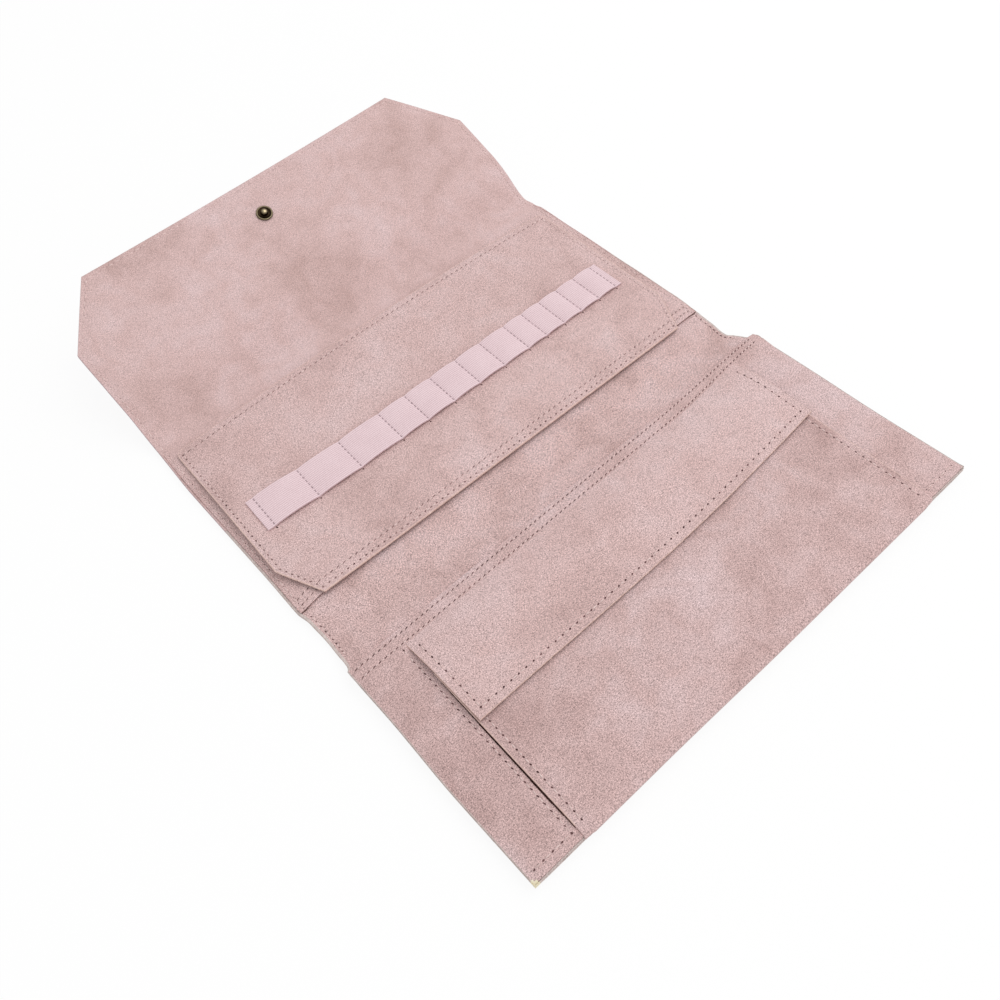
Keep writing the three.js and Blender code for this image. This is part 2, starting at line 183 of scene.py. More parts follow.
class ShaderTree:
    """The nodes of a new material or world."""

    def __init__(self, name: str, world: bool = False) -> None:
        """Starts with an empty tree.

        Args:
            name: The material's or world's name.
            world: Whether it is a world.
        """
        self.kind = "World" if world else "Material"
        self.owner = (bpy.data.worlds if world else bpy.data.materials).new(name)
        self.owner.use_nodes = True
        self.nodes = self.owner.node_tree.nodes
        self.nodes.clear()

    def add(self, kind: str, settings: dict[str, Any], sockets: dict[Any, Any]) -> bpy.types.Node:
        """Adds a node.

        Args:
            kind: The node's type.
            settings: The node's own settings, with a ramp's stops under "stops".
            sockets: Values or links of its inputs, by name or place.

        Returns:
            The new node.
        """
        node = self.nodes.new(kind)
        for name, setting in settings.items():
            if name == "stops":
                self._set_stops(node.color_ramp, setting)
            else:
                setattr(node, name, setting)
        for key, value in sockets.items():
            if isinstance(value, Value):
                self.owner.node_tree.links.new(value.socket, node.inputs[key])
            else:
                node.inputs[key].default_value = value
        return node

    def node(self, kind: str, output: str, settings: dict[str, Any], sockets: dict[Any, Any]) -> Value:
        """Adds a node and reads the named one of its outputs."""
        node = self.add(kind, settings, sockets)
        return Value(self, next(o for o in node.outputs if o.name == output and o.enabled))

    @staticmethod
    def _set_stops(ramp: bpy.types.ColorRamp, stops: Sequence[tuple[float, Colour]]) -> None:
        """Gives a colour ramp its stops."""
        while len(ramp.elements) < len(stops):
            ramp.elements.new(0.5)
        for element, (position, colour) in zip(ramp.elements, stops):
            element.position = position
            element.color = colour

    def noise(self, place: Value, size: float, detail: float, rough: float, twist: float) -> Value:
        """Adds a noise from about 0 to 1, whose patches have about a given size in metres."""
        sockets = {
            "Vector": place, "Scale": 1 / size, "Detail": detail, "Roughness": rough, "Distortion": twist,
        }
        return self.node("ShaderNodeTexNoise", "Fac", {"noise_dimensions": "3D"}, sockets)

    def cells(self, place: Value, size: float) -> Value:
        """Adds cells of about a given size, as the distance from each cell's middle."""
        sockets = {"Vector": place, "Scale": 1 / size, "Randomness": 1.0}
        return self.node("ShaderNodeTexVoronoi", "Distance", {"feature": "F1"}, sockets)

    def bands(self, place: Value, axis: str, pitch: float) -> Value:
        """Adds smooth bands with a crest at each whole pitch along an axis."""
        settings = {"wave_type": "BANDS", "bands_direction": axis, "wave_profile": "SIN"}
        return self.node("ShaderNodeTexWave", "Fac", settings, {
            "Vector": place, "Scale": math.tau / 20 / pitch, "Phase Offset": math.pi,
        })

    def leather_place(self) -> Value:
        """Coordinates in metres along the leather, which stay with it when it bends."""
        return self.node("ShaderNodeUVMap", "UV", {"uv_map": LEATHER_MAP}, {})

    def object_place(self) -> Value:
        """Coordinates in metres of a piece that doesn't bend."""
        return self.node("ShaderNodeTexCoord", "Object", {}, {})

    def ramp(self, share: Value, stops: Sequence[tuple[float, Colour]]) -> Value:
        """Adds a colour ramp over a value."""
        return self.node("ShaderNodeValToRGB", "Color", {"stops": stops}, {"Fac": share})

    def bump(self, height: Value, strength: float, distance: float) -> Value:
        """Adds a bump from a height."""
        sockets = {"Height": height, "Strength": strength, "Distance": distance}
        return self.node("ShaderNodeBump", "Normal", {}, sockets)

    def scaled(self, colour: Value, factor: Value) -> Value:
        """Makes a colour lighter or darker by a factor."""
        sockets = {"Vector": colour, "Scale": factor}
        return self.node("ShaderNodeVectorMath", "Vector", {"operation": "SCALE"}, sockets)

    def surface(self, sockets: dict[str, Any]) -> bpy.types.Material:
        """Ends a material's tree in a Principled surface, whose inputs are given."""
        self.output(self.node("ShaderNodeBsdfPrincipled", "BSDF", {}, sockets))
        return self.owner

    def output(self, shader: Value) -> None:
        """Links a shader to the owner's surface."""
        self.add(f"ShaderNodeOutput{self.kind}", {}, {"Surface": shader})


@dataclass(frozen=True)
class LeatherFinish:
    """Mottled suede-finish leather with a fine pebbled grain."""

    name: str
    dark: Colour = srgb(186, 154, 149)
    middle: Colour = srgb(208, 178, 175)
    light: Colour = srgb(217, 192, 192)
    cloud_size: float = 52 * MM
    patch_size: float = 17 * MM
    fleck_size: float = 5 * MM
    pebble_size: float = 0.85 * MM
    grain_size: float = 0.42 * MM
    roughness: float = 0.74
    grain_depth: float = 0.16 * MM
    grain_tone: float = 1.5
    spread: float = 0.19

    def material(self) -> bpy.types.Material:
        """Makes the leather's material.

        Returns:
            The material.
        """
        tree = ShaderTree(self.name)
        place = tree.leather_place()
        cloud = tree.noise(place, self.cloud_size, 2, 0.5, 0.7)
        patch = tree.noise(place, self.patch_size, 2, 0.5, 0.9)
        fleck = tree.noise(place, self.fleck_size, 2, 0.5, 0.3)
        grain = tree.noise(place, self.grain_size, 0, 0.5, 0.3)
        pebble = tree.cells(place, self.pebble_size)
        tone = cloud * 0.55 + patch * 0.35 + fleck * 0.1
        low, high = 0.5 - self.spread, 0.5 + self.spread
        cloudy = tree.ramp(tone, [(low, self.dark), (0.5, self.middle), (high, self.light)])
        relief = grain - pebble * 0.25
        return tree.surface({
            "Base Color": tree.scaled(cloudy, (relief - 0.39) * self.grain_tone + 1.0),
            "Roughness": patch * 0.16 + (self.roughness - 0.08),
            "Normal": tree.bump(relief, 0.4, self.grain_depth),
            "Sheen Weight": 0.1,
            "Sheen Roughness": 0.5,
            "Specular IOR Level": 0.3,
        })


@dataclass(frozen=True)
class CutEdgeFinish:
    """The cut edge of the leather, with its paler fibres."""

    name: str
    dark: Colour = srgb(182, 165, 160)
    light: Colour = srgb(216, 202, 197)
    fibre_size: float = 1.4 * MM

    def material(self) -> bpy.types.Material:
        """Makes the cut edge's material.

        Returns:
            The material.
        """
        tree = ShaderTree(self.name)
        fibre = tree.noise(tree.leather_place(), self.fibre_size, 4, 0.65, 0.4)
        return tree.surface({
            "Base Color": tree.ramp(fibre, [(0.3, self.dark), (0.65, self.light)]),
            "Roughness": fibre * 0.2 + 0.75,
            "Normal": tree.bump(fibre, 0.6, 0.15 * MM),
            "Specular IOR Level": 0.2,
        })


@dataclass(frozen=True)
class BoardFinish:
    """Plain cream board."""

    name: str
    dark: Colour = srgb(214, 202, 170)
    light: Colour = srgb(240, 232, 208)

    def material(self) -> bpy.types.Material:
        """Makes the board's material.

        Returns:
            The material.
        """
        tree = ShaderTree(self.name)
        fibre = tree.noise(tree.leather_place(), 1.5 * MM, 4, 0.6, 0.3)
        return tree.surface({
            "Base Color": tree.ramp(fibre, [(0.3, self.dark), (0.7, self.light)]),
            "Roughness": fibre * 0.1 + 0.82,
            "Normal": tree.bump(fibre, 0.3, 0.1 * MM),
        })


@dataclass(frozen=True)
class ElasticFinish:
    """Woven elastic: rows of rubber under fine cross threads, darker between the rows, partly the weave's
    own look and partly painted shade in the grooves.
    """

    name: str
    rib_pitch: float
    dark: Colour = srgb(204, 175, 180)
    light: Colour = srgb(234, 211, 215)
    yarn_size: float = 0.55 * MM

    def material(self) -> bpy.types.Material:
        """Makes the elastic's material, whose map has a rib's crest at each whole pitch.

        Returns:
            The material.
        """
        tree = ShaderTree(self.name)
        place = tree.leather_place()
        rib = tree.bands(place, "Y", self.rib_pitch)
        yarn = tree.bands(place, "X", self.yarn_size)
        fuzz = tree.noise(place, 0.7 * MM, 3, 0.6, 0.2)
        stain = tree.noise(place, 14 * MM, 3, 0.5, 0.3)
        # The ribs' bands make it darker between the rows: partly the weave's own look, partly painted shade
        # in the grooves.
        tone = rib * 0.34 + yarn * 0.1 + fuzz * 0.3 + stain * 0.2
        return tree.surface({
            "Base Color": tree.ramp(tone, [(0.22, self.dark), (0.6, self.light)]),
            "Roughness": fuzz * 0.15 + 0.72,
            "Normal": tree.bump(yarn * 0.5 + fuzz, 0.35, 0.12 * MM),
            "Sheen Weight": 0.1,
            "Specular IOR Level": 0.25,
        })


@dataclass(frozen=True)
class ThreadFinish:
    """Sewing thread, twisted and a little worn."""

    name: str
    dark: Colour = srgb(202, 174, 170)
    light: Colour = srgb(232, 208, 204)

    def material(self) -> bpy.types.Material:
        """Makes the thread's material.

        Returns:
            The material.
        """
        tree = ShaderTree(self.name)
        place = tree.leather_place()
        ply = tree.noise(place, 0.35 * MM, 2, 0.5, 0.5)
        shade = tree.noise(place, 6 * MM, 2, 0.5, 0.0)
        return tree.surface({
            "Base Color": tree.ramp(ply * 0.5 + shade * 0.5, [(0.35, self.dark), (0.65, self.light)]),
            "Roughness": ply * 0.2 + 0.55,
            "Normal": tree.bump(ply, 0.5, 0.1 * MM),
        })


@dataclass(frozen=True)
class HoleShadeFinish:
    """Painted shade in the mouth of a needle hole beside a stitch, lighter here and there where the hole is
    drawn nearly shut.
    """

    name: str
    dark: Colour = srgb(64, 42, 43)
    light: Colour = srgb(112, 82, 82)
    stitch_size: float = 7 * MM
    region_size: float = 50 * MM

    def material(self) -> bpy.types.Material:
        """Makes the needle hole's material, its painted shade.

        Returns:
            The material.
        """
        tree = ShaderTree(self.name)
        place = tree.leather_place()
        stitch = tree.noise(place, self.stitch_size, 1, 0.5, 0.0)
        region = tree.noise(place, self.region_size, 1, 0.5, 0.0)
        shade = stitch * 0.6 + region * 0.4
        return tree.surface({
            "Base Color": tree.ramp(shade, [(0.38, self.dark), (0.62, self.light)]),
            "Roughness": stitch * 0.1 + 0.85,
            "Specular IOR Level": 0.1,
        })


@dataclass(frozen=True)
class BrassFinish:
    """Antique brass: dark patina in the hollows, and bright on what stands out, partly rubbed wear and
    partly painted highlight.
    """

    name: str
    patina: Colour = srgb(46, 35, 24)
    rubbed_highlight: Colour = srgb(196, 180, 146)

    def material(self) -> bpy.types.Material:
        """Makes the brass material, which reads the bright share, rubbed wear and painted highlight, from
        the map's second axis.

        Returns:
            The material.
        """
        tree = ShaderTree(self.name)
        place = tree.leather_place()
        wear_and_highlight = tree.node("ShaderNodeSeparateXYZ", "Y", {}, {"Vector": place})
        stain = tree.noise(tree.object_place(), 1.6 * MM, 4, 0.6, 0.4)
        # The bright share is partly rubbed wear, partly painted highlight on what stands out.
        share = wear_and_highlight * 0.85 + (stain - 0.5) * 0.3
        colour = tree.ramp(share, [(0.1, self.patina), (0.85, self.rubbed_highlight)])
        return tree.surface({
            "Base Color": colour,
            "Metallic": 1.0,
            "Roughness": 0.36 - wear_and_highlight * 0.16 + stain * 0.1,
            "Normal": tree.bump(stain, 0.15, 0.1 * MM),
        })


class Finish:
    """The materials, each made once."""

    lining = LeatherFinish("lining_leather", grain_tone=1.8).material()
    smooth = LeatherFinish("smooth_lining_leather", dark=srgb(191, 160, 155), grain_tone=1.0).material()
    cover = LeatherFinish("cover_leather", roughness=0.7).material()
    pocket = LeatherFinish(
        "pocket_leather", dark=srgb(192, 161, 157), light=srgb(215, 189, 188), roughness=0.76,
    ).material()
    # Darker than the pocket leather: partly its own tone, partly painted shade on the left border beside the
    # bellows pocket.
    border = LeatherFinish(
        "border_leather", dark=srgb(180, 148, 144), middle=srgb(202, 172, 169), light=srgb(213, 188, 188),
        roughness=0.76,
    ).material()
    # A paler rim along the upper faces' edges: partly the cut edge's own fibres, partly painted highlight
    # where the rounded edge catches light.
    cut = CutEdgeFinish("cut_edge", dark=srgb(202, 170, 161), light=srgb(228, 200, 191)).material()
    worn = CutEdgeFinish("worn_edge").material()
    far_edge = CutEdgeFinish("far_edge", dark=srgb(176, 150, 152), light=srgb(208, 184, 186)).material()
    # Painted shade: dark brown for slots, gaps, walls under edges and the bellows' hidden sides, where shade
    # falls.
    shade = CutEdgeFinish("painted_shade_edge", dark=srgb(66, 42, 37), light=srgb(106, 72, 65)).material()
    board = BoardFinish("cream_board").material()
    elastic = ElasticFinish("ribbed_elastic", rib_pitch=RIB_PITCH).material()
    thread = ThreadFinish("leather_thread").material()
    grey_thread = ThreadFinish("grey_thread", dark=srgb(140, 118, 124), light=srgb(180, 157, 163)).material()
    # Painted shade in the needle holes: dark, faint and nearly shut.
    hole = HoleShadeFinish("painted_hole_shade").material()
    faint_hole_shade = HoleShadeFinish(
        "faint_painted_hole_shade", dark=srgb(86, 60, 61), light=srgb(152, 123, 121),
    ).material()
    shut_hole_shade = HoleShadeFinish(
        "shut_painted_hole_shade", dark=srgb(146, 118, 116), light=srgb(194, 165, 162),
    ).material()
    brass = BrassFinish("antique_brass").material()


class SidePath:
    """A side view of a sheet: straight runs in Y and Z with eased corners, read by the distance along it."""

    STEPS = 24
    SPAN = 0.3 * MM

    def __init__(self, corners: Sequence[Point2], reaches: Sequence[float]) -> None:
        """Lays the path out.

        Args:
            corners: Ends and corners as (y, z), towards +Y.
            reaches: How far on both sides of each inner corner the path rounds.
        """
        points = [Vector(c) for c in corners]
        self.points: list[Vector] = [points[0]]
        turning: list[int] = []
        for before, corner, after, reach in zip(points, points[1:], points[2:], reaches):
            start = corner + (before - corner).normalized() * reach
            end = corner + (after - corner).normalized() * reach
            turning.append(len(self.points) + self.STEPS // 2)
            for step in range(self.STEPS + 1):
                t = step / self.STEPS
                self.points.append(start.lerp(corner, t).lerp(corner.lerp(end, t), t))
        self.points.append(points[-1])
        self.stations = [0.0]
        for first, second in zip(self.points, self.points[1:]):
            self.stations.append(self.stations[-1] + (second - first).length)
        self.corner_v = [self.stations[i] for i in turning]

    @property
    def length(self) -> float:
        """The path's whole length."""
        return self.stations[-1]

    def at(self, v: float) -> Vector:
        """The point at a distance, which may lie past an end.

        Args:
            v: Distance along the path.

        Returns:
            The point, in Y and Z.
        """
        i = min(max(bisect_right(self.stations, v) - 1, 0), len(self.points) - 2)
        run = self.stations[i + 1] - self.stations[i]
        start, end = self.points[i], self.points[i + 1]
        return start + (end - start) * ((v - self.stations[i]) / run)

    def place(self, u: float, v: float, h: float) -> Vector:
        """The point at u across, v along and h above the path."""
        along = (self.at(v + self.SPAN) - self.at(v - self.SPAN)).normalized()
        return Vector((u, *(self.at(v) + h * Vector((-along.y, along.x)))))


def spread_lines(start: float, end: float, step: float, extra: Iterable[float] = ()) -> list[float]:
    """Lines from start to end, at most a step apart, with extra ones among them.

    Args:
        start: First line.
        end: Last line.
        step: Widest step.
        extra: Lines that are wanted too.

    Returns:
        The lines in order, none nearly alike.
    """
    fixed = sorted({start, end, *(x for x in extra if start < x < end)})
    lines = [fixed[0]]
    for high in fixed[1:]:
        first = lines[-1]
        if high - first < ALIKE:
            continue
        count = max(1, math.ceil((high - first) / step))
        lines += [first + (high - first) * i / count for i in range(1, count + 1)]
    return lines


def rounded(inset: float, radius: float) -> float:
    """How much a rounded edge takes off a face, at a distance from the edge."""
    short = max(radius - inset, 0.0)
    return radius - math.sqrt(radius * radius - short * short)


@dataclass
class Outline:
    """The cut of a sheet between two lines, the same left and right."""

    near: float
    far: float
    half: Callable[[float], float]
    free_near: bool = True
    free_far: bool = True
    slant: float = 1.0
    lines: Sequence[float] | None = None

    def inset(self, u: float, v: float) -> float:
        """The distance from the nearest free edge, 0 outside the sheet."""
        ends = [v - self.near] * self.free_near + [self.far - v] * self.free_far
        return max(min([(self.half(v) - abs(u)) * self.slant, *ends]), 0.0)

    def rows(self, step: float, extra: Iterable[float] = (), beside: Sequence[float] = ()) -> list[float]:
        """Lines across the sheet, with close ones beside its free ends.

        Args:
            step: Widest step.
            extra: Lines that are wanted too.
            beside: Distances from the free ends that get a line of their own.

        Returns:
            The lines in order.
        """
        lines = set(extra)
        for d in (*EDGE_LINES, *beside):
            if self.free_near:
                lines.add(self.near + d)
            if self.free_far:
                lines.add(self.far - d)
        return spread_lines(self.near, self.far, step, lines)

    def columns(self, v: float, step: float, beside: Sequence[float] = ()) -> list[float]:
        """Places across the sheet at one line, as many at each line.

        Args:
            v: The line.
            step: Widest step at the sheet's widest line.
            beside: Distances from the sides that get a place of their own.

        Returns:
            The places from left to right.
        """
        if self.lines:
            return list(self.lines)
        half = self.half(v)
        close = [*EDGE_LINES, *beside]
        inner = half - close[-1]
        widest = max(self.half(self.near), self.half(self.far))
        count = math.ceil(2 * (widest - close[-1]) / step)
        middle = [-inner + 2 * inner * i / count for i in range(1, count)]
        return [d - half for d in close] + middle + [half - d for d in reversed(close)]


@dataclass
class Sheet:
    """A thin closed mesh between an upper and a lower face on one grid."""

    FACE, EDGE, WALL = range(3)
    name: str
    outline: Outline
    rows: list[float]
    step: float
    beside: Sequence[float]
    top: Height
    bottom: Height
    place: Place
    edge_radius: float = 0.3 * MM
    shift: Point2 = (0.0, 0.0)
    stretch: float = 1.0
    rim: float = 0.3 * MM

    def build(
        self, face: bpy.types.Material, edge: bpy.types.Material, wall: bpy.types.Material | None = None,
    ) -> bpy.types.Object:
        """Makes the sheet's object.

        Args:
            face: Material of both faces.
            edge: Material of the upper face's rim, and of the cut edges.
            wall: Material of the cut edges and the lower face's rim, where it differs.

        Returns:
            The new object.
        """
        grid = [[(u, v) for u in self.outline.columns(v, self.step, self.beside)] for v in self.rows]
        columns = len(grid[0])
        flat = [place for line in grid for place in line]
        upper, lower = [], []
        for u, v in flat:
            cut = rounded(self.outline.inset(u, v), self.edge_radius)
            upper.append(self.place(u, v, self.top(u, v) - cut))
            lower.append(self.place(u, v, self.bottom(u, v) + cut))
        count = len(flat)
        uv = [(u * self.stretch + self.shift[0], v + self.shift[1]) for u, v in flat * 2]
        faces: list[tuple[int, ...]] = []
        kinds: list[int] = []
        for r in range(len(grid) - 1):
            for c in range(columns - 1):
                a = r * columns + c
                quad = (a, a + 1, a + columns + 1, a + columns)
                outer = max(self.outline.inset(*flat[i]) for i in quad) < self.rim
                faces += [quad, tuple(i + count for i in reversed(quad))]
                kinds += [self.EDGE, self.WALL] if outer else [self.FACE, self.FACE]
        last = (len(grid) - 1) * columns
        rim = list(range(columns)) + [r * columns + columns - 1 for r in range(1, len(grid))]
        rim += [last + c for c in range(columns - 2, -1, -1)]
        rim += [r * columns for r in range(len(grid) - 2, 0, -1)]
        faces += [(b, a, a + count, b + count) for a, b in zip(rim, rim[1:] + rim[:1])]
        kinds += [self.WALL] * len(rim)
        obj = add_mesh(self.name, upper + lower, faces, uv)
        for material in (face, edge, wall or edge):
            obj.data.materials.append(material)
        for polygon, kind in zip(obj.data.polygons, kinds):
            polygon.material_index = kind
        return obj

    def lay(
        self, obj: bpy.types.Object, hold: "str | Bend", nodes: Sequence[str], held: "Held",
    ) -> None:
        """Settles the sheet's object.

        Args:
            obj: The object that build made.
            hold: The body that it rides on, or the fold that it bends at.
            nodes: The solids that it stands for.
            held: How the sheet is held. Not used.
        """
        settle(obj, hold, nodes)
        length = self.rows[-1] - self.rows[0]
        width = 2 * max(self.outline.half(v) for v in self.rows)
        strips = zip(self.rows, self.rows[1:])
        area = sum((b - a) * (self.outline.half(a) + self.outline.half(b)) for a, b in strips)
        min(area, width * length)


class Held(Enum):
    """How a sheet is held on the case."""

    STRETCHED = "stretched"
    LAID = "laid"
    FOLDED = "folded"


def add_mesh(
    name: str, points: Sequence[Vector], faces: Sequence[Sequence[int]], uv: Sequence[Point2],
) -> bpy.types.Object:
    """Adds a smooth mesh whose sharp turns stay sharp.

    Args:
        name: The piece's name.
        points: Vertices.
        faces: Faces by vertex number.
        uv: The leather map, one pair for each vertex.

    Returns:
        The new object.
    """
    mesh = bpy.data.meshes.new(name)
    mesh.from_pydata([p[:] for p in points], [], [tuple(f) for f in faces])
    tidy = bmesh.new()
    tidy.from_mesh(mesh)
    bmesh.ops.recalc_face_normals(tidy, faces=tidy.faces)
    tidy.to_mesh(mesh)
    tidy.free()
    layer = mesh.uv_layers.new(name=LEATHER_MAP)
    for loop in mesh.loops:
        layer.data[loop.index].uv = uv[loop.vertex_index]
    mesh.shade_smooth()
    mesh.set_sharp_from_angle(angle=SHARP_TURN)
    obj = bpy.data.objects.new(name, mesh)
    bpy.context.scene.collection.objects.link(obj)
    return obj


@dataclass(frozen=True)
class Bend:
    """The two bodies of a fold and the ends of the stretch between them."""

    before: str
    after: str
    start: Vector
    end: Vector


def settle(obj: bpy.types.Object, hold: str | Bend, nodes: Sequence[str] = ()) -> None:
    """Fixes a piece to its body, or bakes it in place where it bends at a fold, hides its solids and reports
    it.

    Args:
        obj: The piece.
        hold: The body that it rides on, or the fold that it bends at.
        nodes: The solids that it stands for.
    """
    if isinstance(hold, Bend):
        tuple(hold.start)
        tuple(hold.end)
        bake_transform(obj)
    else:
        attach(obj, hold)
    if nodes:
        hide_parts(*nodes)
    LOG.info("%s: %d faces", obj.name, len(obj.data.polygons))


class Hole(Enum):
    """Needle holes by their length and width: pulled long, round, nearly closed or drawn to a dash."""

    LONG = (1.3 * MM, 0.5 * MM)
    ROUND = (1.05 * MM, 0.66 * MM)
    FINE = (0.6 * MM, 0.36 * MM)
    DASH = (1.7 * MM, 0.4 * MM)


@dataclass
class Seam:
    """A row of stitches along a line on a sheet."""

    points: Sequence[Point2]
    hole: Hole | None = Hole.ROUND
    pitch: float = 3.8 * MM


@dataclass
class Stitching:
    """Thread and needle holes along the seams of one sheet, the holes as discs of painted shade."""

    name: str
    place: Place
    height: Height
    side: float = 1.0
    thread_radius: float = 0.3 * MM
    thread_share: float = 0.62
    rise: float = 0.1 * MM
    sink: float = 0.3 * MM
    sides: int = 6
    slant: float = 0.25
    hole_rise: float = 0.05 * MM
    hole_depth: float = 0.2 * MM
    hole_shade: bpy.types.Material = Finish.hole
    points: list[Vector] = field(default_factory=list)
    faces: list[tuple[int, ...]] = field(default_factory=list)
    uv: list[Point2] = field(default_factory=list)
    shaded_hole_faces: list[int] = field(default_factory=list)

    def sew(self, *seams: Seam) -> None:
        """Adds the stitches of seams, evenly spread over each straight run.

        Args:
            seams: The lines to sew.
        """
        runs = [(a, b, seam) for seam in seams for a, b in zip(seam.points, seam.points[1:])]
        for first, last, seam in runs:
            start, end = Vector(first), Vector(last)
            length = (end - start).length
            count = max(1, round(length / seam.pitch))
            along = (end - start) / length
            reach = length / count * self.thread_share / 2
            for i in range(count):
                self._add_thread(*start.lerp(end, (i + 0.5) / count), along, reach)
            for i in range(count + 1 if seam.hole else 0):
                self.pierce(*start.lerp(end, i / count), along, seam.hole)

    def _over(self, u: float, v: float, rise: float) -> Vector:
        """A point over the sheet's face."""
        return self.place(u, v, self.height(u, v) + self.side * rise)

    def _add_thread(self, u: float, v: float, along: Point2, reach: float) -> None:
        """Adds one stitch, which rises out of the leather and dips back into it.

        Args:
            u: Place across of its middle.
            v: Place along of its middle.
            along: The seam's direction on the sheet.
            reach: Half the stitch's length.
        """
        step = 0.1 * MM
        here = self._over(u, v, 0)
        ahead = (self._over(u + along[0] * step, v + along[1] * step, 0) - here).normalized()
        out = (self._over(u, v, step) - here).normalized()
        across = ahead.cross(out)
        ends, middle = (-self.sink, 0.6 * self.thread_radius), (self.rise, self.thread_radius)
        rings = []
        for place, (rise, radius) in ((-1, ends), (-0.55, middle), (0.55, middle), (1, ends)):
            at = (u + along[0] * reach * place, v + along[1] * reach * place)
            centre = self._over(*at, rise)
            rings.append(len(self.points))
            for i in range(self.sides):
                angle = math.tau * i / self.sides
                spoke = across * math.cos(angle) + out * math.sin(angle)
                self.points.append(centre + spoke * radius)
                self.uv.append(at)
        for a, b in zip(rings, rings[1:]):
            for i in range(self.sides):
                j = (i + 1) % self.sides
                self.faces.append((a + i, a + j, b + j, b + i))
        self.faces.append(tuple(rings[0] + i for i in reversed(range(self.sides))))
        self.faces.append(tuple(rings[-1] + i for i in range(self.sides)))

    def pierce(self, u: float, v: float, along: Point2, hole: Hole) -> None:
        """Adds one needle hole as a low disc of painted shade in the leather, stretched nearly along the
        seam.

        Args:
            u: Place across.
            v: Place along.
            along: The seam's direction on the sheet.
            hole: The kind of hole.
        """
        first = len(self.points)
        length, width = hole.value
        turn, lean = math.cos(self.slant), math.sin(self.slant)
        along = (along[0] * turn - along[1] * lean, along[0] * lean + along[1] * turn)
        for i in range(2 * self.sides):
            angle = math.pi * i / self.sides
            ahead, aside = length / 2 * math.cos(angle), width / 2 * math.sin(angle)
            at = (u + along[0] * ahead - along[1] * aside, v + along[1] * ahead + along[0] * aside)
            self.points += [self._over(*at, self.hole_rise), self._over(*at, -self.hole_depth)]
            self.uv += [at, at]
        ring = list(range(first, first + 4 * self.sides, 2))
        under = [i + 1 for i in ring]
        start = len(self.faces)
        self.faces += [tuple(ring), tuple(reversed(under))]
        for i, j in zip(range(len(ring)), [*range(1, len(ring)), 0]):
            self.faces.append((ring[j], ring[i], under[i], under[j]))
        self.shaded_hole_faces += range(start, len(self.faces))

    def fix(self, hold: str | Bend, thread: bpy.types.Material = Finish.thread) -> None:
        """Makes the stitches' object and settles it.

        Args:
            hold: The body that it rides on, or the fold that it bends at.
            thread: The thread's material.
        """
        obj = add_mesh(self.name, self.points, self.faces, self.uv)
        obj.data.materials.append(thread)
        # The hole discs take painted shade.
        obj.data.materials.append(self.hole_shade)
        for i in self.shaded_hole_faces:
            obj.data.polygons[i].material_index = 1
        settle(obj, hold)


class Fold(Enum):
    """The creases of the case, from the front panel up, by the bodies that they join."""

    FRONT = ("front_fold", "front", "riser")
    RISER = ("riser_fold", "riser", "lower_spine")
    LOWER = ("lower_fold", "lower_spine", "back")
    UPPER = ("upper_fold", "back", "upper_spine")
    FLAP = ("flap_fold", "upper_spine", "flap")

    @property
    def far(self) -> bool:
        """Whether the fold is one of the two at the flap, where the stitches are fine."""
        return self in (Fold.UPPER, Fold.FLAP)

    def pivot(self) -> Vector:
        """The fold's place in the frame."""
        return joint_place(self.value[0])


def joint_place(name: str) -> Vector:
    """A joint's place in the frame."""
    return Vector(next(j["pos_m"] for j in frame["joints"] if j["name"] == name))


def flap_direction() -> Vector:
    """The direction from the flap's fold to its tip, in the side view."""
    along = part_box("flap_lining")[1] - Fold.FLAP.pivot()
    return Vector((0, along.y, along.z)).normalized()


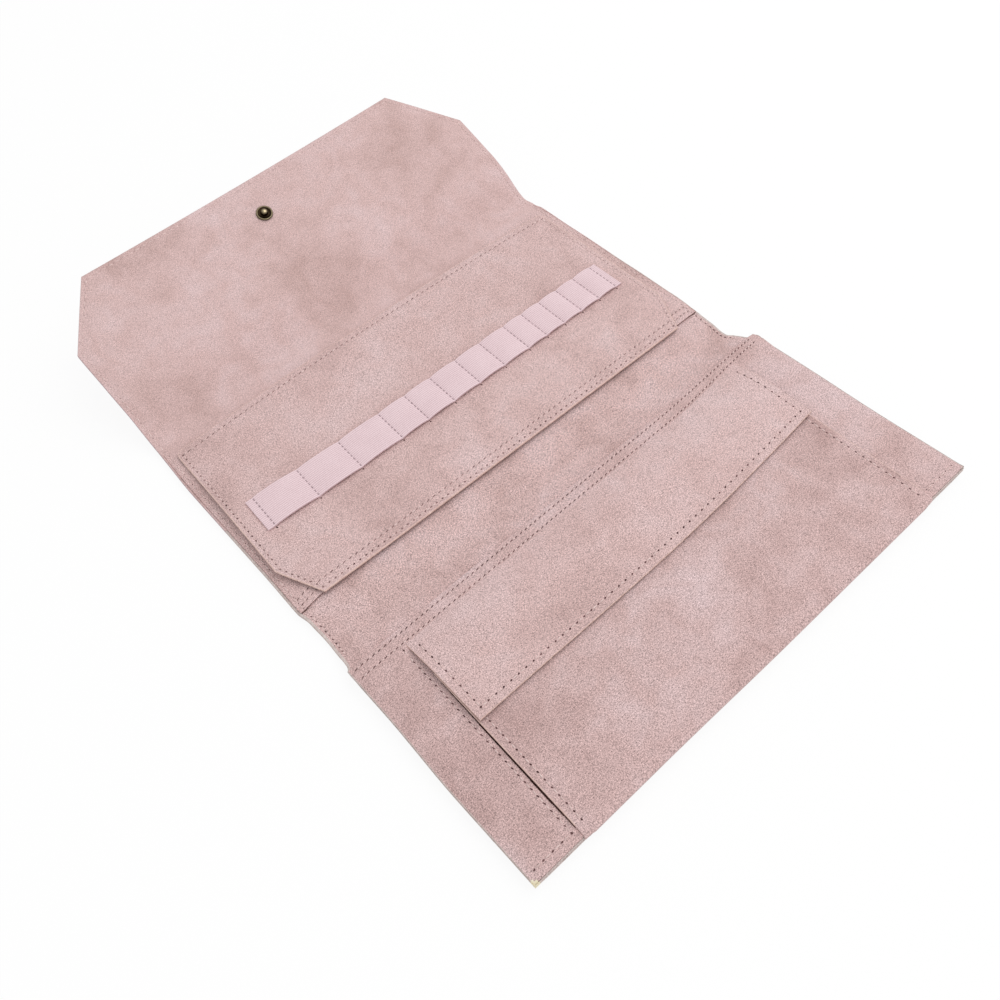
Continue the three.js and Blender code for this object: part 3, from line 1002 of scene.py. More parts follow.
@dataclass
class CaseLeather:
    """The cover and the lining, which bend at the case's folds, with the stitches that join them.

    Its sides are uneven: left_side and right_side say how far they stand out at distances along the case,
    both in millimetres.
    """

    lining_thickness: float = 0.8 * MM
    cover_thickness: float = 1.0 * MM
    spine_depth: float = 2.0 * MM
    panel_depth: float = 3.2 * MM
    lining_pinch: float = 0.4 * MM
    cover_pinch: float = 0.5 * MM
    pinch_band: Point2 = (1.0 * MM, 7.5 * MM)
    board_band: Point2 = (3 * MM, 9 * MM)
    fold_reaches: Sizes = millimetres(5, 6, 6, 8, 12)
    corner_width: float = 25 * MM
    corner_length: float = 34 * MM
    crest_shift: float = 2.4 * MM
    foot_reach: float = 0.5 * MM
    foot_bow: float = 0.6 * MM
    foot_run: float = 30 * MM
    tip_reach: float = 1.15 * MM
    tip_bow: Point2 = (0.25 * MM, 0.75 * MM)
    tip_half: float = 93 * MM
    tip_run: float = 40 * MM
    hem_lift: float = 2.1 * MM
    lift_from: float = 50 * MM
    lift_runs: Point2 = (75 * MM, 15 * MM)
    bare_reach: float = 1.5 * MM
    side_band: Point2 = (96 * MM, 120 * MM)
    left_side: tuple[Point2, ...] = (
        (0, 1.15), (42, 1.35), (85, 0.25), (107, 0.25), (117, -0.5), (128, -1.0), (138, -0.7), (147, 0.5),
        (172, 0.15), (232, 0.15), (267, -0.95), (281, -0.85), (302, -0.3), (325, 0.15),
    )
    right_side: tuple[Point2, ...] = (
        (0, 0.45), (60, 0.25), (107, -0.3), (113, -2.6), (118, -3.0), (122, -4.2), (133, -3.1), (157, -0.9),
        (187, -0.1), (232, 0.9), (257, 1.6), (262, 0.3), (268, -1.2), (290, -0.4), (325, 0.0),
    )
    stitch_inset: float = 2.4 * MM
    wide_pitch: float = 3.8 * MM
    close_pitch: float = 2.9 * MM
    seam_step: float = 8 * MM
    blend_reach: float = 6 * MM
    step: float = 7 * MM
    beside: Sizes = millimetres(1.1, 1.8, 2.4, 3.0, 3.9, 5.4, 7.6)

    def __post_init__(self) -> None:
        """Lays the side view through the folds and reads the widths from the frame."""
        self.half_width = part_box("back_lining")[1].x
        self.front_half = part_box("front_lining")[1].x
        self.front_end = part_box("front_lining")[0].y - self.foot_reach
        folds = [f.pivot() for f in Fold]
        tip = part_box("flap_lining")[1] + flap_direction() * self.tip_reach
        folds[0].y += self.crest_shift
        corners = [(self.front_end, folds[0].z)] + [(p.y, p.z) for p in folds] + [(tip.y, tip.z)]
        self.path = SidePath(corners, self.fold_reaches)
        self.fold_v = dict(zip(Fold, self.path.corner_v))
        self.corner_v = self.path.length - self.corner_length

    def half(self, v: float) -> float:
        """Half the case's width.

        Args:
            v: Place along.

        Returns:
            The half width there.
        """
        fold = self.fold_v[Fold.FRONT]
        front = 1 - ease(v, fold - 1 * MM, fold + 2 * MM)
        wide = self.half_width + (self.front_half - self.half_width) * front
        cut = max(v - self.corner_v, 0) / self.corner_length
        return wide - self.corner_width * cut

    def boarded(self, v: float) -> float:
        """Share of the board's thickness, which ends before each fold.

        Args:
            v: Place along.

        Returns:
            The share, from 0 to 1.
        """
        folds = self.fold_v
        near, far = self.board_band
        front = 1 - ease(v, folds[Fold.FRONT] - far, folds[Fold.FRONT] - near)
        back = ease(v, folds[Fold.LOWER] + near, folds[Fold.LOWER] + far)
        back *= 1 - ease(v, folds[Fold.UPPER] - far, folds[Fold.UPPER] - near)
        flap = ease(v, folds[Fold.FLAP] + near, folds[Fold.FLAP] + far)
        return front + back + flap

    def pinched(self, u: float, v: float) -> float:
        """How far the layers are drawn together by the edge stitching."""
        inset = min((self.half(v) - abs(u)) * 0.9, self.path.length - v)
        return 1 - ease(inset, *self.pinch_band)

    def lining_top(self, u: float, v: float) -> float:
        """Height of the lining's face."""
        return -self.lining_pinch * self.pinched(u, v) * self.boarded(v)

    def lining_bottom(self, u: float, v: float) -> float:
        """Height of the lining's hidden face."""
        return self.lining_top(u, v) - self.lining_thickness

    def cover_bottom(self, u: float, v: float) -> float:
        """Height of the cover's outer face."""
        board = self.panel_depth - self.spine_depth - self.cover_pinch * self.pinched(u, v)
        return -self.spine_depth - self.boarded(v) * board

    def cover_top(self, u: float, v: float) -> float:
        """Height of the cover's hidden face."""
        return self.cover_bottom(u, v) + self.cover_thickness

    def place(self, u: float, v: float, h: float) -> Vector:
        """A point of the leather, uneven along both sides and raised at the hem's right end.

        Args:
            u: Place across.
            v: Place along.
            h: Height.

        Returns:
            The point in the frame.
        """
        ahead = v - self.fold_v[Fold.FRONT]
        raised = ease(u, self.lift_from, self.front_half)
        raised *= (1 - ease(-ahead, 0, self.lift_runs[0])) * (1 - ease(ahead, 0, self.lift_runs[1]))
        outward = between(v / MM, self.right_side if u > 0 else self.left_side) * MM
        x = u + math.copysign(1.0, u) * outward * ease(abs(u), *self.side_band)
        end = self.path.length
        bowed = self.bowed_tip(u) * ease(v, end - self.tip_run, end) - self.bowed_foot(u, v)
        return self.path.place(x, v + bowed, h + self.hem_lift * raised)

    def bowed_tip(self, u: float) -> float:
        """How far the flap's tip edge reaches beyond a straight cut."""
        share = u / self.tip_half
        return self.tip_bow[0] * share + self.tip_bow[1] * share * share

    def bowed_foot(self, u: float, v: float) -> float:
        """How far the leather near the bottom edge reaches beyond a straight cut."""
        return self.foot_bow * ease(u, -60 * MM, 10 * MM) * (1 - ease(v, 0, self.foot_run))

    def bend(self, fold: Fold) -> Bend:
        """The two bodies of a fold and the ends of the stretch over it."""
        ends = (self.place(0, self.fold_v[fold] + side * self.blend_reach, 0) for side in (-1, 1))
        return Bend(*fold.value[1:], *ends)

    def back_v(self, y: float) -> float:
        """Distance along the side view of a place on the flat back panel."""
        return self.fold_v[Fold.LOWER] + y - Fold.LOWER.pivot().y

    def build(self) -> None:
        """Makes each stretch of leather from the middle of one panel to the middle of the next."""
        folds = list(self.fold_v.values())
        cuts = [0.0] + [(a + b) / 2 for a, b in zip(folds, folds[1:])] + [self.path.length]
        for fold, start, end in zip(Fold, cuts, cuts[1:]):
            self._build_stretch(fold, start, end)

    def _build_stretch(self, fold: Fold, start: float, end: float) -> None:
        """Makes one stretch of lining, cover and stitches.

        Args:
            fold: The fold that it bends at.
            start: Where it starts.
            end: Where it ends.
        """
        before, after = fold.value[1:]
        name = f"{before}_{after}"
        outline = Outline(start, end, self.half, fold is Fold.FRONT, fold is Fold.FLAP, slant=0.9)
        close = [self.fold_v[fold] + d * MM for d in range(-12, 13)]
        rows = outline.rows(self.step, [*close, self.corner_v], self.beside)
        sewn = fold is not Fold.FRONT

        def lining_top(u: float, v: float) -> float:
            """The lining's face with its stitch groove."""
            sunk = groove(outline.inset(u, v) - self.stitch_inset) if sewn else 0
            return self.lining_top(u, v) - sunk

        def cover_bottom(u: float, v: float) -> float:
            """The cover's outer face with its stitch groove."""
            return self.cover_bottom(u, v) + groove(outline.inset(u, v) - self.stitch_inset)

        bend = self.bend(fold)
        shapes = (
            ("lining", lining_top, self.lining_bottom, Finish.smooth if fold.far else Finish.lining, 0.0),
            ("cover", self.cover_top, cover_bottom, Finish.cover, 1.0),
        )
        for ply, top, bottom, face, shift in shapes:
            sheet = Sheet(
                f"{name}_{ply}", outline, rows, self.step, self.beside, top, bottom, self.place,
                shift=(0.0, shift), rim=0.4 * MM if fold.far else 1.1 * MM,
            )
            obj = sheet.build(face, Finish.far_edge if fold.far else Finish.worn)
            if fold is Fold.FRONT:
                self.bare_tip(obj)
            sheet.lay(obj, bend, [f"{before}_{ply}", f"{after}_{ply}"], Held.STRETCHED)
        outside = Stitching(f"{name}_outer_stitches", self.place, cover_bottom, side=-1.0)
        outside.sew(*self._edge_seams(fold, start, end))
        outside.fix(bend)
        if sewn:
            low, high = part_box("centre_pocket")
            start = self.back_v(high.y + 1 * MM) if fold is Fold.UPPER else start
            end = self.back_v(low.y - 3 * MM) if fold is Fold.LOWER else end
            hole_shade = Finish.shut_hole_shade if fold.far else Finish.faint_hole_shade
            inside = Stitching(f"{name}_inner_stitches", self.place, lining_top, hole_shade=hole_shade)
            inside.sew(*self._edge_seams(fold, start, end))
            inside.fix(bend)

    def _edge_seams(self, fold: Fold, start: float, end: float) -> list[Seam]:
        """The lines of stitches along a stretch's free edges.

        Args:
            fold: The fold that the stretch bends at.
            start: Where the stitches start.
            end: Where they end.

        Returns:
            The seams of both sides, and of the free end where there is one.
        """
        inset = self.stitch_inset
        hole = Hole.FINE if fold.far else Hole.ROUND
        pitch = self.wide_pitch if fold.far or fold is Fold.FRONT else self.close_pitch
        tip = self.half_width - self.corner_width - inset * 0.55
        stop = self.corner_v if fold is Fold.FLAP else end
        first = start + inset if fold is Fold.FRONT else start
        count = max(1, round((stop - first) / self.seam_step))
        lines = [first + (stop - first) * i / count for i in range(count + 1)]
        seams = []
        for side in (-1, 1):
            line = [(side * (self.half(v) - inset), v) for v in lines]
            if fold is Fold.FLAP:
                line.append((side * tip, end - inset))
            seams.append(Seam(line, hole, pitch))
        if fold is Fold.FLAP:
            seams.append(Seam([(-tip, end - inset), (tip, end - inset)], hole))
        if fold is Fold.FRONT:
            reach = self.half(start) - inset
            seams.append(Seam([(-reach, first), (reach, first)], hole))
        return seams

    def bare_tip(self, obj: bpy.types.Object) -> None:
        """Shows the bare backing at the front panel's left corner.

        Args:
            obj: A sheet of the front panel.
        """
        obj.data.materials.append(Finish.board)
        for polygon in obj.data.polygons:
            across = self.front_half + polygon.center.x
            along = polygon.center.y - self.front_end
            if polygon.center.x < 0 and across + along < self.bare_reach:
                polygon.material_index = len(obj.data.materials) - 1


@dataclass
class Boards:
    """The stiffening boards between cover and lining, hidden in the panels."""

    case: CaseLeather
    side_inset: float = 6 * MM
    fold_inset: float = 9 * MM
    clear: float = 0.1 * MM

    def build(self) -> None:
        """Makes the three boards of the case."""
        front, _, lower, upper, flap = self.case.fold_v.values()
        self._build_board("front", self.side_inset, front - self.fold_inset)
        self._build_board("back", lower + self.fold_inset, upper - self.fold_inset)
        self._build_board("flap", flap + self.fold_inset, self.case.path.length - self.side_inset)

    def _build_board(self, body: str, near: float, far: float) -> None:
        """Makes one board.

        Args:
            body: The body that it stiffens.
            near: The line of the side view where it starts.
            far: The line where it ends.
        """
        case = self.case
        outline = Outline(near, far, lambda v: case.half(v) - self.side_inset)
        rows = outline.rows(case.step, [case.corner_v])
        sheet = Sheet(f"{body}_stiffener", outline, rows, case.step, (), self._top, self._bottom, case.place)
        settle(sheet.build(Finish.board, Finish.board), body, [f"{body}_board"])

    def _top(self, u: float, v: float) -> float:
        """Height of the board's upper face, just under the lining."""
        return self.case.lining_bottom(u, v) - self.clear

    def _bottom(self, u: float, v: float) -> float:
        """Height of the board's lower face, just over the cover."""
        return self.case.cover_top(u, v) + self.clear


@dataclass
class CentrePocket:
    """The slip pocket across the back panel, with a double-stitched hem at its mouth."""

    case: CaseLeather
    thickness: float = 0.7 * MM
    gap: float = 0.1 * MM
    hem: float = 11 * MM
    hem_rise: float = 0.3 * MM
    side_inset: float = 1.0 * MM
    side_thin: float = 0.25 * MM
    side_run: float = 7 * MM
    side_seam: float = 2 * MM
    mouth_drop: float = -0.7 * MM
    mouth_slope: float = 0.017
    mouth_open: float = 0.45 * MM
    mouth_run: float = 90 * MM
    corner_drop: float = 2.0 * MM
    corner_from: float = 104 * MM
    skive: float = 20 * MM
    skive_sink: float = 0.1 * MM
    lift: float = 0.06 * MM
    least: float = 0.15 * MM
    seam_insets: Point2 = (3.0 * MM, 6.4 * MM)
    hem_pitch: float = 2.8 * MM
    beside: Sizes = millimetres(1.0, 1.5, 2.0, 2.5, 3.2, 5, 7)

    def __post_init__(self) -> None:
        """Finds the pocket's mouth and its end below the upper crease."""
        low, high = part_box("centre_pocket")
        self.mouth = self.case.back_v(low.y) - self.mouth_drop
        self.end = self.case.back_v(high.y)
        self.hem_rows = [self.mouth + inset for inset in self.seam_insets]
        self.outline = Outline(self.mouth, self.end, self.half, free_far=False)

    def half(self, v: float) -> float:
        """Half the pocket's width."""
        return self.case.half(v) - self.side_inset

    def place(self, u: float, v: float, h: float) -> Vector:
        """A point of the pocket, whose mouth runs a little lower on the right and at its left corner."""
        askew = self.mouth_slope * u + self.corner_drop * ease(-u, self.corner_from, self.case.half_width)
        return self.case.place(u, v - askew * (1 - ease(v - self.mouth, 0, self.mouth_run)), h)

    def top(self, u: float, v: float) -> float:
        """Height of the pocket's face, thick at the hem and thinned at the sides and the end.

        Args:
            u: Place across.
            v: Place along.

        Returns:
            The height over the side view.
        """
        inset = self.half(v) - abs(u)
        hem = 1 - ease(v - self.mouth, 0.75 * self.hem, 1.2 * self.hem)
        side = 1 - ease(inset, 0, self.side_run)
        skived = ease(self.end - v, 0, self.skive)
        sunk = sum(groove(v - row) for row in self.hem_rows) + groove(inset - self.side_seam)
        height = (self.gap + self.thickness + self.skive_sink) * skived - self.skive_sink
        height += hem * self.hem_rise * (1 - 0.5 * side) - (sunk + self.side_thin * side) * skived
        return self.case.lining_top(u, v) + height

    def bottom(self, u: float, v: float) -> float:
        """Height of the pocket's underside, which dips into the lining where the edge is thinned."""
        rise = self.lift + self.mouth_open * (1 - ease(v - self.mouth, 0, 6 * MM))
        return min(self.case.lining_top(u, v) + rise, self.top(u, v) - self.least)

    def build(self) -> None:
        """Makes the pocket and its stitches."""
        thinned = [self.end - d * MM for d in range(0, 22, 2)]
        rows = self.outline.rows(5 * MM, [*groove_lines(self.hem_rows), *thinned], millimetres(1, 2))
        sheet = Sheet(
            "centre_pocket_sheet", self.outline, rows, 7 * MM, self.beside, self.top, self.bottom,
            self.place, edge_radius=0.45 * MM,
        )
        # The walls take painted shade; all but those facing the mouth go back to the pocket leather, leaving
        # the dark line at the mouth.
        leather = sheet.build(Finish.pocket, Finish.pocket, Finish.shade)
        for polygon in leather.data.polygons:
            if polygon.normal.y > -0.4:
                polygon.material_index = 0
        sheet.lay(leather, "back", ["centre_pocket"], Held.LAID)
        stitches = Stitching("centre_pocket_stitches", self.place, self.top, hole_shade=Finish.faint_hole_shade)
        reach = self.half(self.mouth) - 3 * MM
        for row in self.hem_rows:
            stitches.sew(Seam([(-reach, row), (reach, row)], Hole.DASH, self.hem_pitch))
        for side in (-1, 1):
            ends = (self.mouth + 1 * MM, self.end - 3 * MM)
            stitches.sew(Seam([(side * (self.half(v) - self.side_seam), v) for v in ends], Hole.FINE))
        stitches.fix("back")


@dataclass
class NeedlePage:
    """The lined leaf over the centre pocket, sewn on along its top edge and lying a little askew."""

    pocket: CentrePocket
    leather: float = 0.65 * MM
    thickness: float = 1.9 * MM
    pinch: float = 0.45 * MM
    under_pinch: float = 0.3 * MM
    pinch_band: Point2 = (0.8 * MM, 6.5 * MM)
    seat: float = 0.1 * MM
    half_width: float = 114 * MM
    corner_width: float = 10 * MM
    corner_length: float = 22 * MM
    corner_radius: float = 4 * MM
    slope: float = 0.02
    seam_shift: Point2 = (1.4 * MM, 1.3 * MM)
    seam_bow: float = 3.5 * MM
    seam_run: float = 40 * MM
    seam_rise: float = 3.0 * MM
    seam_inset: float = 3.8 * MM
    seam_drop: float = 0.5 * MM
    foot_shift: float = 1.15 * MM
    foot_slide: float = 4.0 * MM
    side_curl: float = 2.2 * MM
    curl_from: float = 60 * MM
    curl_run: float = 45 * MM
    side_out: float = 1.2 * MM
    side_band: Point2 = (102 * MM, 113 * MM)
    wave: float = 0.3 * MM
    wave_size: float = 60 * MM
    wave_seed: float = 3.7
    stitch_inset: float = 2.2 * MM
    hem_inset: float = 5.6 * MM
    pitch: float = 3.2 * MM
    seam_hold: float = 5.5 * MM
    bend_length: float = 8 * MM
    board_inset: float = 6 * MM
    board_clear: float = 0.1 * MM
    map_shift: Point2 = (2.1, 0.6)
    step: float = 6 * MM
    beside: Sizes = millimetres(1.0, 1.6, 2.2, 2.8, 3.6, 5.2, 7.5)

    def __post_init__(self) -> None:
        """Lays the page on the pocket's hem and seam, between the ends that the frame has."""
        seam_y = joint_place("page_lift").y + self.seam_shift[1]
        foot_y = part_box("page_face")[0].y + self.foot_shift
        lies = Fold.LOWER.pivot().z + self.pocket.gap + self.pocket.thickness + self.seat + self.thickness
        self.path = SidePath([(foot_y, lies + self.pocket.hem_rise), (seam_y, lies - self.seam_drop)], [])
        self.top_row = self.path.length - self.seam_inset
        self.outline = Outline(0.0, self.path.length, self.half, slant=0.92)

    def half(self, v: float) -> float:
        """Half the page's width, with cut lower corners and rounded upper ones.

        Args:
            v: Distance from the page's foot.

        Returns:
            The half width there.
        """
        radius = self.corner_radius
        past = max(v - self.path.length + radius, 0)
        turned = radius - math.sqrt(max(radius * radius - past * past, 0))
        return self.half_width - self.corner_width * max(1 - v / self.corner_length, 0) - 0.7 * turned

    def place(self, u: float, v: float, h: float) -> Vector:
        """A point of the page, which slides left towards its foot, is uneven and stands up on the left.

        Args:
            u: Place across.
            v: Distance from the page's foot.
            h: Height over the page's face.

        Returns:
            The point in the frame.
        """
        end = self.path.length
        share = 1 - v / end
        wave = self.wave * ripple(u, v, self.wave_size, self.wave_seed)
        wave *= ease(end - v, 0, self.seam_run) * ease(v, 0, 25 * MM)
        curl = self.side_curl * ease(-u, self.curl_from, self.half_width)
        curl *= ease(end - v, 4 * MM, self.curl_run) * ease(v, -20 * MM, self.curl_run)
        x = u + self.seam_shift[0] - self.foot_slide * share
        x -= self.side_out * ease(-u, *self.side_band) * (1 - 0.7 * share)
        across = u / self.half_width
        bow = self.seam_bow * (1 - across * across) + self.seam_rise
        bow *= ease(v, end - self.seam_run, end)
        return self.path.place(x, v - self.slope * u + bow, h + wave + curl)

    def bend(self) -> Bend:
        """How the page leaves the back panel below its seam."""
        end = self.place(0, self.path.length - self.seam_hold, 0)
        return Bend("page", "back", end - Vector((self.slope, 1, 0)).normalized() * self.bend_length, end)

    def pinched(self, u: float, v: float) -> float:
        """How far the edge stitching draws the page's layers together."""
        return 1 - ease(self.outline.inset(u, v), *self.pinch_band)

    def _sunk(self, u: float, v: float) -> float:
        """Depth of the stitch grooves, the hem's second one among them."""
        side = min((self.half(v) - abs(u)) * self.outline.slant, v)
        return max(groove(d) for d in (side - self.stitch_inset, v - self.hem_inset, self.top_row - v))

    def face_top(self, u: float, v: float) -> float:
        """Height of the page's face."""
        return -self.pinch * self.pinched(u, v) - self._sunk(u, v)

    def face_bottom(self, u: float, v: float) -> float:
        """Height of the face leather's hidden side."""
        return -self.pinch * self.pinched(u, v) - self.leather

    def back_bottom(self, u: float, v: float) -> float:
        """Height of the page's underside."""
        return -self.thickness + self.under_pinch * self.pinched(u, v) + self._sunk(u, v)

    def back_top(self, u: float, v: float) -> float:
        """Height of the back leather's hidden side."""
        return -self.thickness + self.under_pinch * self.pinched(u, v) + self.leather

    def build(self) -> None:
        """Makes the page's two leathers, its stitches and its board."""
        bend = self.bend()
        close = [self.path.length - d * MM for d in range(1, 18)]
        extra = [*groove_lines((self.hem_inset, self.top_row)), *close, self.corner_length]
        rows = self.outline.rows(self.step, extra, self.beside)
        # The face leather's rim is the paler cut edge, partly painted highlight; the back leather's walls
        # and lower rim are painted shade, the dark line under the page's edges.
        shapes = (
            ("front", self.face_top, self.face_bottom, "pocket", "page_face", Finish.pocket, Finish.cut),
            ("back", self.back_top, self.back_bottom, "lining", "page_back", Finish.lining, Finish.shade),
        )
        for name, top, bottom, slot, node, face, wall in shapes:
            sheet = Sheet(
                f"page_{name}_leather", self.outline, rows, self.step, self.beside, top, bottom, self.place,
                shift=self.map_shift, rim=0.6 * MM,
            )
            sheet.lay(sheet.build(face, Finish.cut, wall), bend, [node], Held.LAID)
        for name, height, side in (("page", self.face_top, 1.0), ("page_back", self.back_bottom, -1.0)):
            stitches = Stitching(f"{name}_stitches", self.place, height, side, hole_shade=Finish.faint_hole_shade)
            stitches.sew(*self._seams())
            stitches.fix(bend)
        self._build_board()

    def _build_board(self) -> None:
        """Makes the board that stiffens the page below its bend."""
        far = self.path.length - self.seam_hold - self.bend_length - 1 * MM
        outline = Outline(self.board_inset, far, lambda v: self.half(v) - self.board_inset)
        rows = outline.rows(self.step, [self.corner_length])
        sheet = Sheet(
            "page_stiffener", outline, rows, self.step, (),
            lambda u, v: self.face_bottom(u, v) - self.board_clear,
            lambda u, v: self.back_top(u, v) + self.board_clear, self.place,
        )
        settle(sheet.build(Finish.board, Finish.board), "page", ["page_board"])

    def _seams(self) -> list[Seam]:
        """Stitches round the page, with a second row along its foot.

        Returns:
            The seams.
        """
        inset, top = self.stitch_inset, self.top_row
        foot = self.half(inset) - inset * 0.8
        side = self.half_width - inset
        corner = self.corner_length - inset * 0.2
        hem = self.half(self.hem_inset) - 3.5 * MM
        return [
            Seam([(-side, top), (-side, corner), (-foot, inset)], Hole.ROUND, self.pitch),
            Seam([(side, top), (side, corner), (foot, inset)], Hole.FINE, self.pitch),
            Seam([(-foot, inset), (foot, inset)], Hole.ROUND, self.pitch),
            Seam([(-hem, self.hem_inset), (hem, self.hem_inset)], Hole.DASH, self.pitch),
            Seam([(-side, top), (side, top)], Hole.DASH, self.pitch),
        ]


@dataclass
class NeedleElastic:
    """The ribbed band on the page, sewn down between its needle loops, which share its length."""

    page: NeedlePage
    foot_gap: float = 40.5 * MM
    half_length: float = 105.6 * MM
    thickness: float = 0.9 * MM
    lift: float = 0.1 * MM
    arch: float = 1.0 * MM
    arch_power: float = 0.6
    tab: float = 3.6 * MM
    loops: tuple[int, ...] = (6, 6, 6, 4, 4, 4, 4, 4, 3, 3, 3, 3, 3)
    rib_depth: float = 0.12 * MM
    selvedge: Point2 = (0.8 * MM, 1.6 * MM)
    step: float = 1.6 * MM
    pitch: float = 2.5 * MM
    knot_gap: float = 0.6 * MM

    def __post_init__(self) -> None:
        """Finds the band on the page and where its loops are sewn down."""
        low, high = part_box("needle_elastic")
        self.near = self.foot_gap
        self.far = self.near + high.y - low.y
        self.middle = (self.near + self.far) / 2
        share = 2 * (self.half_length - self.tab) / sum(self.loops)
        self.sewn = [self.tab - self.half_length]
        for loop in self.loops:
            self.sewn.append(self.sewn[-1] + loop * share)

    def rise(self, u: float) -> float:
        """How high the band stands in a loop.

        Args:
            u: Place across.

        Returns:
            The height, 0 where the band is sewn down.
        """
        i = bisect_right(self.sewn, u) - 1
        if not 0 <= i < len(self.loops):
            return 0.0
        share = (u - self.sewn[i]) / (self.sewn[i + 1] - self.sewn[i])
        return self.arch * math.sin(math.pi * min(max(share, 0.0), 1.0)) ** self.arch_power

    def rib(self, v: float) -> float:
        """Height of the ribs across the band, between its smooth selvedges."""
        depth = self.rib_depth * ease(min(v - self.near, self.far - v), *self.selvedge)
        return depth * (0.5 * math.cos(math.tau * (v - self.middle) / RIB_PITCH) - 0.5)

    def top(self, u: float, v: float) -> float:
        """Height of the band's face."""
        return self.lift + self.rise(u) + self.thickness + self.rib(v)

    def bottom(self, u: float, v: float) -> float:
        """Height of the band's underside."""
        return self.lift * 0.5 + self.rise(u)

    def build(self) -> None:
        """Makes the band and the stitches between its loops."""
        near_seams = [x + o for x in self.sewn for o in millimetres(-0.8, -0.35, 0, 0.35, 0.8)]
        ends = [side * (self.half_length - d) for side in (-1, 1) for d in EDGE_LINES]
        columns = spread_lines(-self.half_length, self.half_length, self.step, [*near_seams, *ends])
        outline = Outline(self.near, self.far, lambda v: self.half_length, lines=columns)
        rows = outline.rows(RIB_PITCH / 6)
        sheet = Sheet(
            "needle_elastic_band", outline, rows, self.step, (), self.top, self.bottom, self.page.place,
            shift=(0.0, -self.middle),
        )
        band = sheet.build(Finish.elastic, Finish.elastic)
        sheet.lay(band, "page", ["needle_elastic"], Held.STRETCHED)
        stitches = Stitching(
            "needle_loop_stitches", self.page.place, self.top, thread_share=0.72, thread_radius=0.26 * MM,
        )
        # The knots are needle-hole discs of painted shade below each seam's end.
        knots = Stitching("needle_loop_knots", self.page.place, self.page.face_top)
        for u in self.sewn:
            stitches.sew(Seam([(u, self.near + 0.2 * MM), (u, self.far - 0.2 * MM)], None, self.pitch))
            knots.pierce(u, self.near - self.knot_gap, (0.0, 1.0), Hole.ROUND)
        stitches.fix("page", Finish.grey_thread)
        knots.fix("page", Finish.grey_thread)


